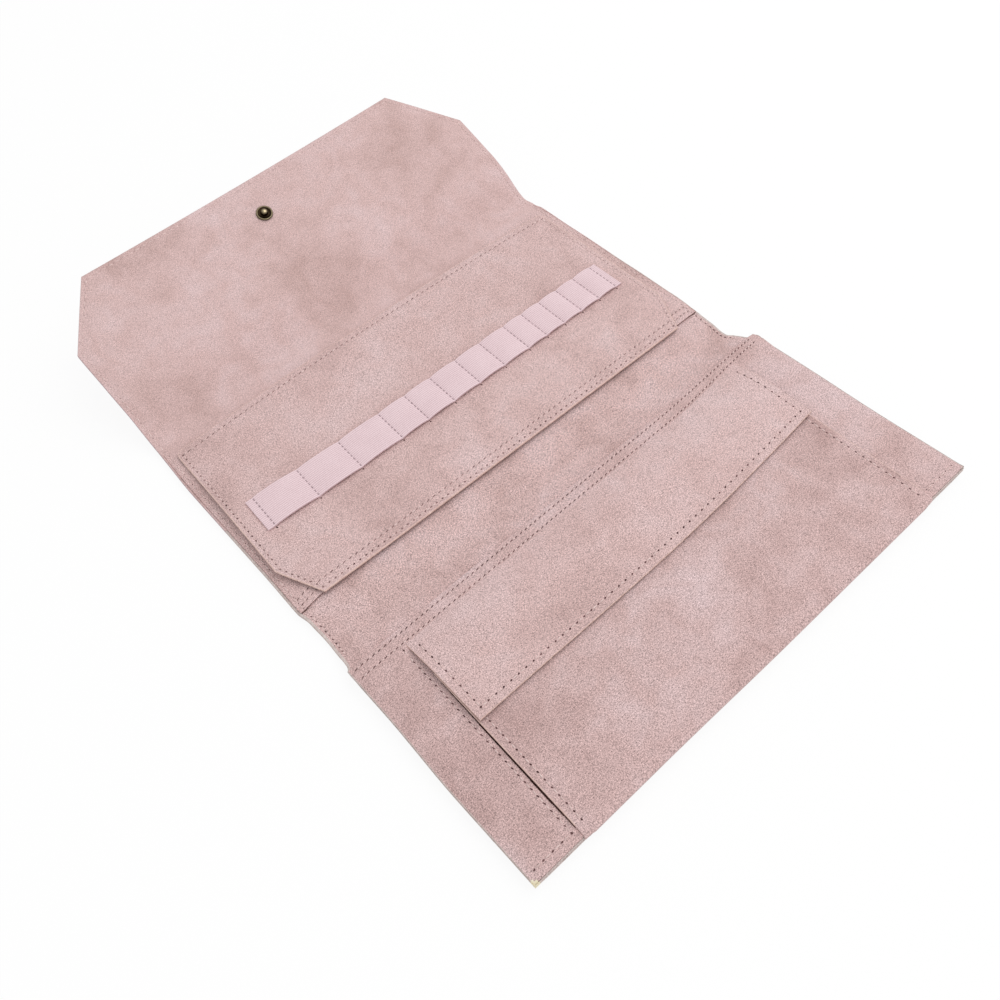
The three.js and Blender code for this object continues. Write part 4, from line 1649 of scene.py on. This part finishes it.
@dataclass
class FrontPocket:
    """The full-width slip pocket on the front panel, with a double-stitched hem at its mouth."""

    case: CaseLeather
    thickness: float = 1.0 * MM
    gap: float = 0.2 * MM
    hem_rise: float = 0.7 * MM
    hem_band: Point2 = (8 * MM, 13 * MM)
    side_thin: float = 0.6 * MM
    mouth_shift: float = 1.1 * MM
    mouth_out: float = 0.15 * MM
    seam_insets: Point2 = (2.2 * MM, 6.5 * MM)
    hem_pitch: float = 2.7 * MM
    border_seam: float = 20.4 * MM
    hidden_seam: float = 24.6 * MM
    border_pitch: float = 3.4 * MM
    bellows_half: float = 98.4 * MM
    lean: float = 0.8 * MM
    foot_out: float = 0.4 * MM
    slot: float = 0.5 * MM
    slot_foot: float = 6 * MM
    slot_reach: float = 5 * MM
    slot_bands: tuple[Point2, Point2] = (millimetres(3, 15), millimetres(25, 80))
    slot_least: float = 0.1
    lip: float = 0.7 * MM
    lip_width: float = 11 * MM
    lip_bands: tuple[Point2, Point2] = (millimetres(5, 24), millimetres(6, 40))
    flap_reach: float = 11 * MM
    foot_gap: float = 0.35 * MM
    foot_inset: float = 4 * MM
    lift: float = 0.06 * MM
    slope: float = 0.007
    row_rise: float = 0.35
    row_bend: Point2 = (55 * MM, 112 * MM)
    outer_columns: Sizes = millimetres(1, 2, 3.5, 5, 8)
    slot_columns: Sizes = millimetres(
        13, 11, 9, 7, 5, 4, 3, 2.5, 2, 1.5, 1.2, 1, 0.8, 0.6, 0.4, 0.2, 0,
    )

    def __post_init__(self) -> None:
        """Finds the pocket's mouth on the case."""
        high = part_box("front_pocket")[1]
        self.mouth = self.case.fold_v[Fold.FRONT] + high.y - Fold.FRONT.pivot().y + self.mouth_shift
        self.covered = self.mouth - (high.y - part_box("bellows_front")[1].y) - self.slot_reach
        self.outline = Outline(self.foot_gap, self.mouth, self.half)

    def half(self, v: float) -> float:
        """Half the pocket's width, which wraps the panel's sides."""
        return self.case.front_half + self.mouth_out * ease(v, self.mouth - 12 * MM, self.mouth)

    def place(self, u: float, v: float, h: float) -> Vector:
        """A point of the pocket, whose mouth runs a little higher on the right.

        Args:
            u: Place across.
            v: Place along.
            h: Height.

        Returns:
            The point in the frame.
        """
        rise = self.slope * u * (1 - ease(self.mouth - v, 0, 70 * MM))
        inner = 1 - ease(abs(u), self.bellows_half + 3 * MM, self.half(v))
        return self.case.place(u + self.leant(u, v) * inner, v + rise, h)

    def leant(self, u: float, v: float) -> float:
        """How far the bellows pocket stands to the right, with its left foot set out a little."""
        share = v / self.mouth
        return self.lean * share - self.foot_out * (1 - share) * ease(-u, 40 * MM, self.bellows_half)

    def row(self, inset: float, u: float) -> float:
        """The line of a hem row, which comes nearer to the mouth at its right end."""
        return self.mouth - inset * (1 - self.row_rise * ease(u, *self.row_bend))

    def slot_edge(self, v: float) -> float:
        """Where the border ends, beside a narrow slot that closes towards both ends."""
        low, high = ease(v, *self.slot_bands[0]), ease(self.mouth - v, *self.slot_bands[1])
        return self.bellows_half + self.slot * low * (self.slot_least + (1 - self.slot_least) * high)

    def _lip(self, u: float, v: float) -> float:
        """How far the border stands up beside the bellows pocket.

        Args:
            u: Place across.
            v: Place along.

        Returns:
            The rise.
        """
        inner = self.slot_edge(v)
        tall = ease(v, *self.lip_bands[0]) * ease(self.mouth - v, *self.lip_bands[1])
        raised = 1 - ease(abs(u), inner, inner + self.lip_width)
        return self.lip * tall * raised * ease(abs(u), inner - 0.4 * MM, inner)

    def _paint_shade(self, obj: bpy.types.Object, sheet: Sheet) -> None:
        """Paints shade into the slot beside the bellows pocket and into the gap under the foot. Only the
        sides stay worn.

        Args:
            obj: The pocket's object.
            sheet: The sheet that made it.
        """
        obj.data.materials.append(Finish.shade)
        dark = len(obj.data.materials) - 1
        layer = obj.data.uv_layers[LEATHER_MAP].data
        for polygon in obj.data.polygons:
            places = [layer[i].uv for i in polygon.loop_indices]
            u = abs(sum(p.x for p in places) / len(places) - sheet.shift[0])
            v = sum(p.y for p in places) / len(places) - sheet.shift[1]
            # Painted shade: a wide strip where the bellows pocket hides it, a narrow one in the slot above,
            # and the downward walls at the foot's gap.
            hidden = self.slot_reach if v < self.covered else self.slot
            slot = self.bellows_half - hidden < u < self.slot_edge(v)
            slot = slot and self.slot_foot < v < self.mouth - self.flap_reach
            foot = v < self.foot_gap + 0.1 * MM and polygon.normal.y < -0.6 and polygon.normal.z < 0.4
            if slot or foot:
                polygon.material_index = dark
            elif u < self.case.front_half - 2 * sheet.rim:
                polygon.material_index = 0

    def top(self, u: float, v: float) -> float:
        """Height of the pocket's face, thick at the hem and thinned at the sides.

        Args:
            u: Place across.
            v: Place along.

        Returns:
            The height over the side view.
        """
        inset = self.half(v) - abs(u)
        hem = 1 - ease(self.mouth - v, *self.hem_band)
        side = 1 - ease(inset, 0, 5 * MM)
        sunk = sum(groove(self.row(d, u) - v) for d in self.seam_insets) + groove(inset - self.border_seam)
        height = self.gap + self.thickness + hem * self.hem_rise - self.side_thin * side + self._lip(u, v)
        return self.case.lining_top(u, v) + height - sunk

    def bottom(self, u: float, v: float) -> float:
        """Height of the pocket's underside, which stands off at the foot."""
        return self.case.lining_top(u, v) + self.lift + self.foot_gap * (1 - ease(v, 0, 3 * MM))

    def build(self) -> None:
        """Makes the pocket and its stitches."""
        edge = self.case.front_half - self.bellows_half
        beside = (*self.outer_columns, *(edge - d for d in self.slot_columns))
        turns = (0, self.row_bend[0], sum(self.row_bend) / 2, self.row_bend[1])
        grooves = groove_lines(self.row(d, u) for d in self.seam_insets for u in turns)
        rows = self.outline.rows(6 * MM, grooves, millimetres(1, 2, 4))
        sheet = Sheet(
            "front_pocket_sheet", self.outline, rows, 7 * MM, beside, self.top, self.bottom, self.place,
            edge_radius=0.45 * MM, shift=(1.4, 0.9), stretch=-1.0, rim=0.8 * MM,
        )
        leather = sheet.build(Finish.border, Finish.worn)
        self._paint_shade(leather, sheet)
        self.case.bare_tip(leather)
        sheet.lay(leather, "front", ["front_pocket"], Held.LAID)
        hem = Stitching("front_hem_stitches", self.place, self.top)
        reach = self.half(self.mouth) - 3 * MM
        places = (-reach, *spread_lines(self.row_bend[0], reach - 3 * MM, 12 * MM))
        for inset in self.seam_insets:
            hem.sew(Seam([(u, self.row(inset, u)) for u in places], Hole.DASH, self.hem_pitch))
        hem.fix("front")
        border = Stitching("front_border_stitches", self.place, self.top)
        foot, top = self.foot_inset, self.mouth - 9 * MM
        for side, seam, hole in ((-1, self.border_seam, Hole.ROUND), (1, self.hidden_seam, Hole.FINE)):
            sewn, outer, inner = (side * (self.half(0) - d) for d in (seam, 3.5 * MM, self.border_seam))
            border.sew(Seam([(sewn, foot), (sewn, top)], Hole.LONG, self.border_pitch))
            border.sew(Seam([(outer, foot), (inner, foot)], hole))
        border.fix("front")


@dataclass
class BellowsPocket:
    """The pocket on the front panel with folded sides, which turns down over the bottom edge."""

    front: FrontPocket
    thickness: float = 1.0 * MM
    foot_drop: float = 1.9 * MM
    foot_rise: float = 0.15 * MM
    foot_run: float = 22 * MM
    depth: float = 1.9 * MM
    turn: float = 0.9 * MM
    side_gap: float = 1.3 * MM
    side_run: float = 45 * MM
    edge_drop: float = 0.35 * MM
    flat_band: Point2 = (6 * MM, 26 * MM)
    wave: float = 0.25 * MM
    wave_size: float = 45 * MM
    wave_seed: float = 8.2
    stitch_inset: float = 3.2 * MM
    gusset: float = 0.5 * MM
    gusset_inset: float = 4 * MM
    gusset_fold: float = 5 * MM
    gusset_clear: float = 0.3 * MM
    gusset_start: float = 20 * MM
    gusset_strips: int = 14
    beside: Sizes = millimetres(1.2, 2.0, 2.7, 3.2, 3.7, 4.5, 6, 9)

    def __post_init__(self) -> None:
        """Lays the pocket's front from the bottom edge, where it is sewn down, up to its mouth."""
        self.half_width = self.front.bellows_half
        self.base = Fold.FRONT.pivot().z + self.front.gap + self.front.thickness
        foot = self.front.case.front_end
        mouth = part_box("bellows_front")[1].y
        corners = [
            (foot, self.base - self.foot_drop), (foot, self.base + self.foot_rise),
            (foot + self.foot_run, self.base + self.depth), (mouth, self.base + self.depth),
        ]
        self.path = SidePath(corners, [self.turn, 10 * MM])
        self.outline = Outline(0.0, self.path.length, lambda v: self.half_width)

    def place(self, u: float, v: float, h: float) -> Vector:
        """A point of the pocket's front, whose sides lie lower than its middle.

        Args:
            u: Place across.
            v: Distance from the front's lower end.
            h: Height over its side view.

        Returns:
            The point in the frame.
        """
        wave = self.wave * ripple(u, v, self.wave_size, self.wave_seed)
        wave -= self.side_drop(self.half_width - abs(u))
        x = u + self.front.leant(u, v)
        point = self.path.place(x, v, h + wave * ease(v, *self.flat_band))
        point.y -= self.front.case.bowed_foot(u, v)
        return point

    def side_drop(self, inset: float) -> float:
        """How much lower the pocket lies at a distance from its sides."""
        return (self.depth - self.side_gap) * (1 - ease(inset, 0, self.side_run))

    def top(self, u: float, v: float) -> float:
        """Height of the front's face."""
        sunk = groove(self.half_width - abs(u) - self.stitch_inset)
        return self.thickness - sunk + self.bottom(u, v)

    def bottom(self, u: float, v: float) -> float:
        """Height of the front's hidden face, which turns down at the side edges."""
        return -self.edge_drop * (1 - ease(self.half_width - abs(u), 0.5 * MM, 5 * MM))

    def build(self) -> None:
        """Makes the pocket's front, its stitches and its folded sides."""
        rows = self.outline.rows(5 * MM, [d * 0.5 * MM for d in range(1, 14)])
        sheet = Sheet(
            "bellows_pocket_front", self.outline, rows, 7 * MM, self.beside, self.top, self.bottom,
            self.place, edge_radius=0.42 * MM, shift=(6.2, 4.4), rim=0.7 * MM,
        )
        # The upper rim is the paler cut edge, partly painted highlight; the walls are painted shade for the
        # dark slot beside the border, except near the foot, where they take the border leather.
        leather = sheet.build(Finish.border, Finish.cut, Finish.shade)
        for polygon in leather.data.polygons:
            if polygon.center.y < self.front.case.front_end + self.front.slot_foot:
                polygon.material_index = 0
        sheet.lay(leather, "front", ["bellows_front"], Held.LAID)
        stitches = Stitching("bellows_pocket_stitches", self.place, self.top)
        for side in (-1, 1):
            u = side * (self.half_width - self.stitch_inset)
            stitches.sew(Seam([(u, 6.5 * MM), (u, self.path.length - 3 * MM)]))
        stitches.fix("front")
        for name, side in (("left", -1), ("right", 1)):
            self._build_gusset(name, side)

    def _build_gusset(self, name: str, side: int) -> None:
        """Makes a folded side of the pocket.

        Args:
            name: Left or right.
            side: The sign of its X.
        """
        def place(t: float, v: float, h: float) -> Vector:
            """A point of the strip.

            Args:
                t: Share of the way from the front panel up to the pocket's front.
                v: Distance from the front's lower end.
                h: Height over the strip.

            Returns:
                The point in the frame.
            """
            over = self.place(side * self.half_width, v, self.bottom(self.half_width, v))
            low, high = self.base + self.gusset_clear, over.z - self.gusset_clear
            x = over.x - side * (self.gusset_inset + self.gusset_fold * (1 - abs(2 * t - 1)))
            return Vector((x, over.y, low + (high - low) * t + h))

        strip = [i / self.gusset_strips for i in range(self.gusset_strips + 1)]
        start, end = self.gusset_start, self.path.length
        wide, half = 2 * self.gusset_fold, self.gusset / 2
        sheet = Sheet(
            f"bellows_side_{name}", Outline(start, end, lambda v: 1.0, lines=strip),
            spread_lines(start, end, 4 * MM), 1.0, (), lambda t, v: half, lambda t, v: -half, place,
            edge_radius=0.0, shift=(4.0 + side, 2.3), stretch=wide,
        )
        # The folded sides, hidden under the pocket's front, are painted shade.
        obj = sheet.build(Finish.shade, Finish.shade)
        settle(obj, "front", [f"bellows_gusset_{name}"])


@dataclass
class PocketFlap:
    """The bellows pocket's flap, sewn on under the hem's two rows of stitches."""

    bellows: BellowsPocket
    half_width: float = 98.5 * MM
    ply: float = 0.75 * MM
    pinch: float = 0.25 * MM
    inner_pinch: float = 0.1 * MM
    pinch_band: Point2 = (0.8 * MM, 6 * MM)
    face_gap: float = 0.08 * MM
    back_gap: float = 0.05 * MM
    root: float = 4.3 * MM
    root_lift: float = 0.15 * MM
    tuck_run: float = 0.9 * MM
    tuck: float = 1.1 * MM
    mouth_reach: float = 3 * MM
    bow: float = 3.1 * MM
    bow_power: float = 1.2
    foot_rise: float = 2.6 * MM
    slope: float = 0.028
    root_rise: float = 0.9
    lean: float = 0.7 * MM
    wave: float = 0.2 * MM
    wave_run: float = 15 * MM
    wave_size: float = 50 * MM
    wave_seed: float = 5.1
    stitch_inset: float = 3.6 * MM
    clear: float = 0.6 * MM
    bend_reach: float = 3.5 * MM
    beside: Sizes = millimetres(1.2, 2.0, 2.8, 3.2, 3.6, 4.0, 4.8, 6.5)

    def __post_init__(self) -> None:
        """Lays the flap from its lower edge over the pocket to its seam."""
        hinge = joint_place("pocket_flap_lift").y
        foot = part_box("pocket_flap_face")[0].y + self.foot_rise
        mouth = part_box("bellows_front")[1].y + self.mouth_reach
        over = self.bellows.base + self.bellows.depth + self.bellows.thickness + self.clear + self.ply
        seam_z = self.bellows.base + self.bellows.front.hem_rise + self.root_lift - self.ply
        corners = [
            (foot, over), (mouth, over), (hinge + self.root - self.tuck_run, seam_z),
            (hinge + self.root, seam_z - self.tuck),
        ]
        self.path = SidePath(corners, [5 * MM, 0.6 * MM])
        self.hinge_v = self.path.corner_v[1] - self.root + self.tuck_run
        self.outline = Outline(0.0, self.path.length, lambda v: self.half_width)

    def place(self, u: float, v: float, h: float) -> Vector:
        """A point of the flap, whose lower edge is bowed and which runs a little higher on the right.

        Args:
            u: Place across.
            v: Distance from the flap's lower edge.
            h: Height over the flap's middle layer.

        Returns:
            The point in the frame.
        """
        front = self.bellows.front
        wave = self.wave * (1 + ripple(u, v, self.wave_size, self.wave_seed))
        wave -= self.bellows.side_drop(self.half_width - abs(u))
        wave *= ease(self.hinge_v - v, 0, self.wave_run)
        point = self.path.place(u + self.lean, v, h + wave)
        lifted, level = (front.case.place(x, front.mouth, 0).z for x in (u, 0))
        point.z += (lifted - level) * ease(v, 0, self.hinge_v)
        share = min(max((u / self.half_width + 1) / 2, 0.0), 1.0)
        bowed = math.sin(math.pi * share ** self.bow_power) * max(1 - v / self.hinge_v, 0)
        slope = self.slope + (front.slope - self.slope) * ease(v, 0.3 * self.hinge_v, self.hinge_v)
        risen, start = (front.row(front.seam_insets[1], x) for x in (u, 0))
        rise = (risen - start) * self.root_rise * ease(v, 0.4 * self.hinge_v, self.hinge_v)
        point.y += slope * u - self.bow * bowed + rise
        return point

    def pinched(self, u: float, v: float) -> float:
        """How far the stitches draw the flap's two layers together."""
        return 1 - ease(self.outline.inset(u, v), *self.pinch_band)

    def face_top(self, u: float, v: float) -> float:
        """Height of the flap's face."""
        sunk = groove(min(self.half_width - abs(u), v) - self.stitch_inset)
        return self.ply - self.pinch * self.pinched(u, v) - sunk

    def face_bottom(self, u: float, v: float) -> float:
        """Height of the face leather's hidden side."""
        return self.face_gap - self.inner_pinch * self.pinched(u, v)

    def back_top(self, u: float, v: float) -> float:
        """Height of the lining's hidden side."""
        return -self.back_gap - self.inner_pinch * self.pinched(u, v)

    def back_bottom(self, u: float, v: float) -> float:
        """Height of the flap's underside."""
        return -self.ply + self.inner_pinch * self.pinched(u, v)

    def bend(self) -> Bend:
        """How the flap leaves the front panel below its seam."""
        ends = (self.place(0, self.hinge_v + side * self.bend_reach, 0) for side in (-1, 1))
        return Bend("pocket_flap", "front", *ends)

    def build(self) -> None:
        """Makes the flap's two leathers and its stitches."""
        bend = self.bend()
        close = [self.hinge_v + d * 0.5 * MM for d in range(-10, 13)]
        rows = self.outline.rows(6 * MM, close, self.beside)
        # The face leather's rim is the paler cut edge, partly painted highlight; the back leather's walls
        # and lower rim are painted shade, the dark line under the flap's edges.
        shapes = (
            ("front", self.face_top, self.face_bottom, "pocket", "pocket_flap_face", Finish.cut),
            ("back", self.back_top, self.back_bottom, "lining", "pocket_flap_lining", Finish.shade),
        )
        for name, top, bottom, slot, node, wall in shapes:
            sheet = Sheet(
                f"pocket_flap_{name}_leather", self.outline, rows, 7 * MM, self.beside, top, bottom,
                self.place, shift=(5.3, 2.9),
            )
            obj = sheet.build(Finish.pocket, Finish.cut, wall)
            sheet.lay(obj, bend, [node], Held.LAID)
        inset = self.stitch_inset
        side = self.half_width - inset
        top = self.hinge_v - 2 * MM
        stitches = Stitching("pocket_flap_stitches", self.place, self.face_top)
        stitches.sew(Seam([(-side, top), (-side, inset), (side, inset), (side, top)]))
        stitches.fix(bend)


@dataclass
class SnapFastener:
    """The brass snap: stud and cap on the flap, socket and rivet on the front panel.

    A profile has rings of radius and height, in millimetres, and the share of bright brass, partly rubbed
    wear and partly painted highlight. A disc closes each end.
    """

    segments: int = 56
    stud: Profile = (
        (0.02, 0.0, 0.05), (4.1, 0.0, 0.05), (4.28, 0.12, 0.15), (4.3, 0.4, 0.25), (4.12, 0.66, 0.4),
        (3.8, 0.74, 0.45), (3.45, 0.66, 0.25), (3.2, 0.46, 0.05), (2.8, 0.32, 0.1), (2.3, 0.28, 0.1),
        (1.95, 0.32, 0.05), (1.8, 0.6, 0.0), (1.7, 1.1, 0.0), (1.76, 1.45, 0.05), (1.76, 1.7, 0.15),
        (1.58, 1.95, 0.25), (1.2, 2.14, 0.4), (0.6, 2.26, 0.85), (0.02, 2.3, 1.0),
    )
    cap: Profile = (
        (0.02, 0.0, 0.3), (5.0, 0.0, 0.3), (5.2, 0.12, 0.9), (5.1, 0.3, 1.0), (4.5, 0.52, 0.75),
        (3.4, 0.74, 0.6), (1.8, 0.88, 0.7), (0.02, 0.92, 0.75),
    )
    socket: Profile = (
        (2.4, 0.0, 0.1), (4.6, 0.0, 0.2), (4.72, 0.15, 0.7), (4.65, 0.7, 0.8), (4.3, 0.86, 0.4),
        (3.9, 0.92, 0.2), (3.6, 1.3, 0.6), (3.3, 1.48, 1.0), (2.8, 1.5, 1.0), (2.42, 1.36, 0.6),
        (2.4, 0.7, 0.1), (2.35, 0.02, 0.0),
    )

    def _turned(self, node: str, profile: Profile) -> bpy.types.Object:
        """Turns a profile about the middle of a solid.

        Args:
            node: The solid that it stands for.
            profile: The profile.

        Returns:
            The new object.
        """
        centre, axis = self._seat(node)
        side = Vector((1, 0, 0))
        other = axis.cross(side)
        count = self.segments
        points, faces, uv = [], [], []
        # The third value is the bright share: rubbed wear and painted highlight.
        for radius, height, wear_and_highlight in profile:
            for i in range(count):
                angle = math.tau * i / count
                out = side * math.cos(angle) + other * math.sin(angle)
                points.append(centre + out * (radius * MM) + axis * (height * MM))
                uv.append((angle * radius * MM, wear_and_highlight))
        for a in range(0, (len(profile) - 1) * count, count):
            for i in range(count):
                j = (i + 1) % count
                faces.append((a + i, a + j, a + count + j, a + count + i))
        faces.append(tuple(range(count))[::-1])
        faces.append(tuple(range(len(points) - count, len(points))))
        obj = add_mesh(f"{node}_detail", points, faces, uv)
        obj.data.materials.append(Finish.brass)
        return obj

    @staticmethod
    def _seat(node: str) -> tuple[Vector, Vector]:
        """Where a snap piece meets the leather.

        Args:
            node: The solid that it stands for.

        Returns:
            The point and the outward direction.
        """
        low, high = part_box(node)
        along = flap_direction()
        up = Vector((0, -along.z, along.y))
        out = {"snap_stud": up, "snap_cap": -up}.get(node, Vector((0, 0, -1)))
        middle = (low + high) / 2
        verts = [v.co - middle for v in frame["nodes"][node].data.vertices]
        spread = [(v - out * v.dot(out)).length for v in verts]
        widest = max(spread)
        rim = [v.dot(out) for v, radius in zip(verts, spread) if radius > 0.9 * widest]
        return middle + out * min(rim), out

    def build(self) -> None:
        """Makes the stud, the cap and the socket, and dresses the hidden rivet."""
        pieces = (
            ("snap_stud", "flap", self.stud),
            ("snap_cap", "flap", self.cap),
            ("snap_socket", "front", self.socket),
        )
        for node, body, profile in pieces:
            settle(self._turned(node, profile), body, [node])
        rivet = frame["nodes"]["snap_rivet"]
        rivet.data.materials.clear()
        rivet.data.materials.append(Finish.brass)


@dataclass
class Studio:
    """Floor, light and camera."""

    eye: Vector = field(default_factory=lambda: Vector((-157.4, -276.9, 345.0)) * MM)
    right: Vector = field(default_factory=lambda: Vector((0.7423, -0.6623, -0.1022)))
    ahead: Vector = field(default_factory=lambda: Vector((0.3179, 0.4823, -0.8163)))
    lens: float = 34.81
    sensor: float = 36.0
    sky: float = 0.72
    floor_size: float = 8.0
    floor_level: float = -0.05 * MM
    floor_colour: Colour = (0.94, 0.94, 0.94, 1.0)
    floor_glow: float = 0.9

    def build(self) -> None:
        """Sets up the whole studio."""
        self._add_floor()
        self._add_sky()
        self._add_lamp("key_light", Vector((0.8, -0.15, 1.3)), size=1.3, power=8.5)
        self._add_lamp("fill_light", Vector((0.1, -1.0, 1.1)), size=1.6, power=3.0)
        self._add_camera()
        bpy.context.scene.view_settings.view_transform = "Standard"

    def _add_floor(self) -> None:
        """Adds a white floor that keeps the case's shadow, and glows where it is seen."""
        half = self.floor_size / 2
        ring = ((-half, -half), (half, -half), (half, half), (-half, half))
        corners = [Vector((*place, self.floor_level)) for place in ring]
        floor = add_mesh("floor", corners, [(0, 1, 2, 3)], ring)
        tree = ShaderTree("white_floor")
        names = ("Is Camera Ray", "Is Glossy Ray", "Is Transmission Ray")
        camera, mirrored, through = (tree.node("ShaderNodeLightPath", name, {}, {}) for name in names)
        seen = camera.at_least(mirrored.at_least(through))
        paper = tree.node("ShaderNodeBsdfDiffuse", "BSDF", {}, {"Color": self.floor_colour})
        glow = tree.node("ShaderNodeEmission", "Emission", {}, {"Color": WHITE, "Strength": 1.0})
        sockets = {0: seen * self.floor_glow, 1: paper, 2: glow}
        tree.output(tree.node("ShaderNodeMixShader", "Shader", {}, sockets))
        floor.data.materials.append(tree.owner)
        floor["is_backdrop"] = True

    def _add_sky(self) -> None:
        """Gives the world an even light, and white where it is seen."""
        tree = ShaderTree("studio", world=True)
        bpy.context.scene.world = tree.owner
        seen = tree.node("ShaderNodeLightPath", "Is Camera Ray", {}, {})
        light, white = (
            tree.node("ShaderNodeBackground", "Background", {}, {"Color": WHITE, "Strength": strength})
            for strength in (self.sky, 1.0)
        )
        tree.output(tree.node("ShaderNodeMixShader", "Shader", {}, {0: seen, 1: light, 2: white}))

    @staticmethod
    def _add_lamp(name: str, place: Vector, size: float, power: float) -> None:
        """Adds a soft square lamp that points at the case.

        Args:
            name: The lamp's name.
            place: Where it hangs.
            size: Its width.
            power: Its power in watts.
        """
        data = bpy.data.lights.new(name, "AREA")
        data.size = size
        data.energy = power
        lamp = bpy.data.objects.new(name, data)
        lamp.location = place
        lamp.rotation_euler = (-place).to_track_quat("-Z", "Y").to_euler()
        bpy.context.scene.collection.objects.link(lamp)

    def _add_camera(self) -> None:
        """Adds the camera at the photograph's viewing angle."""
        data = bpy.data.cameras.new("camera")
        data.lens = self.lens
        data.sensor_width = self.sensor
        camera = bpy.data.objects.new("camera", data)
        back = -self.ahead.normalized()
        right = (self.right - back * self.right.dot(back)).normalized()
        turn = Matrix((right, back.cross(right), back)).transposed().to_4x4()
        camera.matrix_world = Matrix.Translation(self.eye) @ turn
        bpy.context.scene.collection.objects.link(camera)
        bpy.context.scene.camera = camera


def write_sizes() -> None:
    """Works out the solids' box and the dressed case's box; they are not written anywhere."""
    boxes = {"cad": CAD_BOX, "visual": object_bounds()}
    {name: [list(corner) for corner in box] for name, box in boxes.items()}


def main() -> None:
    """Dresses the case piece by piece and sets up the studio."""
    logging.basicConfig(level=logging.INFO, format="%(message)s")
    Studio().build()
    case = CaseLeather()
    pocket = CentrePocket(case)
    page = NeedlePage(pocket)
    front = FrontPocket(case)
    bellows = BellowsPocket(front)
    leather = (case, pocket, page, NeedleElastic(page), front, bellows, PocketFlap(bellows))
    for piece in (*leather, SnapFastener(), Boards(case)):
        piece.build()
    write_sizes()


if __name__ == "__main__":
    main()
